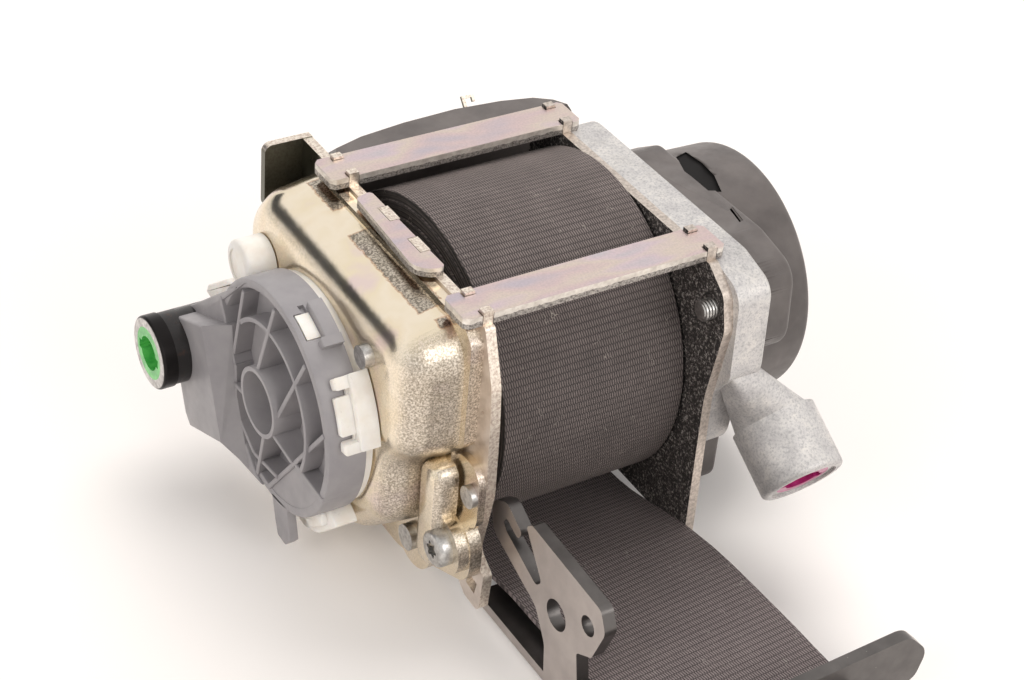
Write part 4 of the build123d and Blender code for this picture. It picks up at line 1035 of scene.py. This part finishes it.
def floor_finish():
    """Pale paper that keeps the object's shadow and shows white to the camera and in reflections."""
    f = Finish("pale_floor")
    paths = f.node("ShaderNodeLightPath")
    seen = f.sums("ADD", paths.outputs["Is Camera Ray"], paths.outputs["Is Glossy Ray"], clamp=True)
    seen = f.sums("ADD", seen, paths.outputs["Is Transmission Ray"], clamp=True)
    f.shader.inputs["Base Color"].default_value = (0.90, 0.865, 0.84, 1)
    f.shader.inputs["Roughness"].default_value = 1.0
    f.shader.inputs["Specular IOR Level"].default_value = 0.0
    f.shader.inputs["Emission Color"].default_value = (1.0, 0.99, 0.98, 1)
    f.join(f.sums("MULTIPLY", seen, 0.12), f.shader.inputs["Emission Strength"])
    return f.material


bpy.ops.mesh.primitive_grid_add(x_subdivisions=8, y_subdivisions=8, size=6.0, location=(0, 0, -0.2 * MM))
floor = bpy.context.object
floor.name = "floor"
dress(floor, floor_finish())

# The world lights the object at one level, and shows brighter to the camera and, nearly, to reflections
LIT_LEVEL, SEEN_LEVEL, MIRRORED_SHARE = 0.42, 1.05, 0.85
world = bpy.data.worlds.new("room")
bpy.context.scene.world = world
world.use_nodes = True
world_tree = world.node_tree
background = world_tree.nodes["Background"]
background.inputs["Color"].default_value = (1.0, 0.975, 0.955, 1)
world_paths = world_tree.nodes.new("ShaderNodeLightPath")
world_seen = world_tree.nodes.new("ShaderNodeMath")
world_seen.operation = "MAXIMUM"
world_tree.links.new(world_paths.outputs["Is Camera Ray"], world_seen.inputs[0])
world_glossy = world_tree.nodes.new("ShaderNodeMath")
world_glossy.operation = "MULTIPLY"
world_glossy.inputs[1].default_value = MIRRORED_SHARE
world_tree.links.new(world_paths.outputs["Is Glossy Ray"], world_glossy.inputs[0])
world_tree.links.new(world_glossy.outputs[0], world_seen.inputs[1])
world_level = world_tree.nodes.new("ShaderNodeMapRange")
world_level.inputs["To Min"].default_value = LIT_LEVEL
world_level.inputs["To Max"].default_value = SEEN_LEVEL
world_tree.links.new(world_seen.outputs[0], world_level.inputs["Value"])
world_tree.links.new(world_level.outputs["Result"], background.inputs["Strength"])


def soft_light(name, place, aim, size, power, mirrored=True):
    """A warm white panel, in metres and watts; reflections show it only where it is mirrored."""
    data = bpy.data.lights.new(name, "AREA")
    data.shape = "RECTANGLE"
    data.size, data.size_y = size
    data.energy = power
    data.color = (1, 0.97, 0.94)
    lamp = bpy.data.objects.new(name, data)
    bpy.context.scene.collection.objects.link(lamp)
    lamp.location = place
    lamp.visible_glossy = mirrored
    lamp.rotation_euler = (aim - Vector(place)).to_track_quat("-Z", "Y").to_euler()


LIT_PLACE = Vector((0, 0, 0.04))
soft_light("top_light", (0.35, 0.45, 1.10), LIT_PLACE, (0.9, 0.9), 10.0, mirrored=False)
soft_light("front_light", (0.25, -1.1, 0.75), LIT_PLACE, (0.8, 0.6), 4.5)
soft_light("left_light", (-1.1, -0.3, 0.7), LIT_PLACE, (0.7, 0.7), 5.0, mirrored=False)

# A dark card behind on the left, which only reflections show: the cover's curve mirrors it
bpy.ops.mesh.primitive_grid_add(x_subdivisions=4, y_subdivisions=4, size=1.0)
card = bpy.context.object
card.name = "dark_card"
card.scale = (1.4, 0.42, 1)
card.location = Vector((-0.62, 0.80, 0.40))
card.rotation_euler = (LIT_PLACE - card.location).to_track_quat("Z", "Y").to_euler()
bpy.ops.object.transform_apply(location=True, rotation=True, scale=True)
card.visible_camera = False
card.visible_diffuse = False
card.visible_shadow = False
card.visible_transmission = False
card_look = Finish("dark_card")
card_look.colour((0.035, 0.04, 0.05))
card_look.rough(0.9)
dress(card, card_look.material)
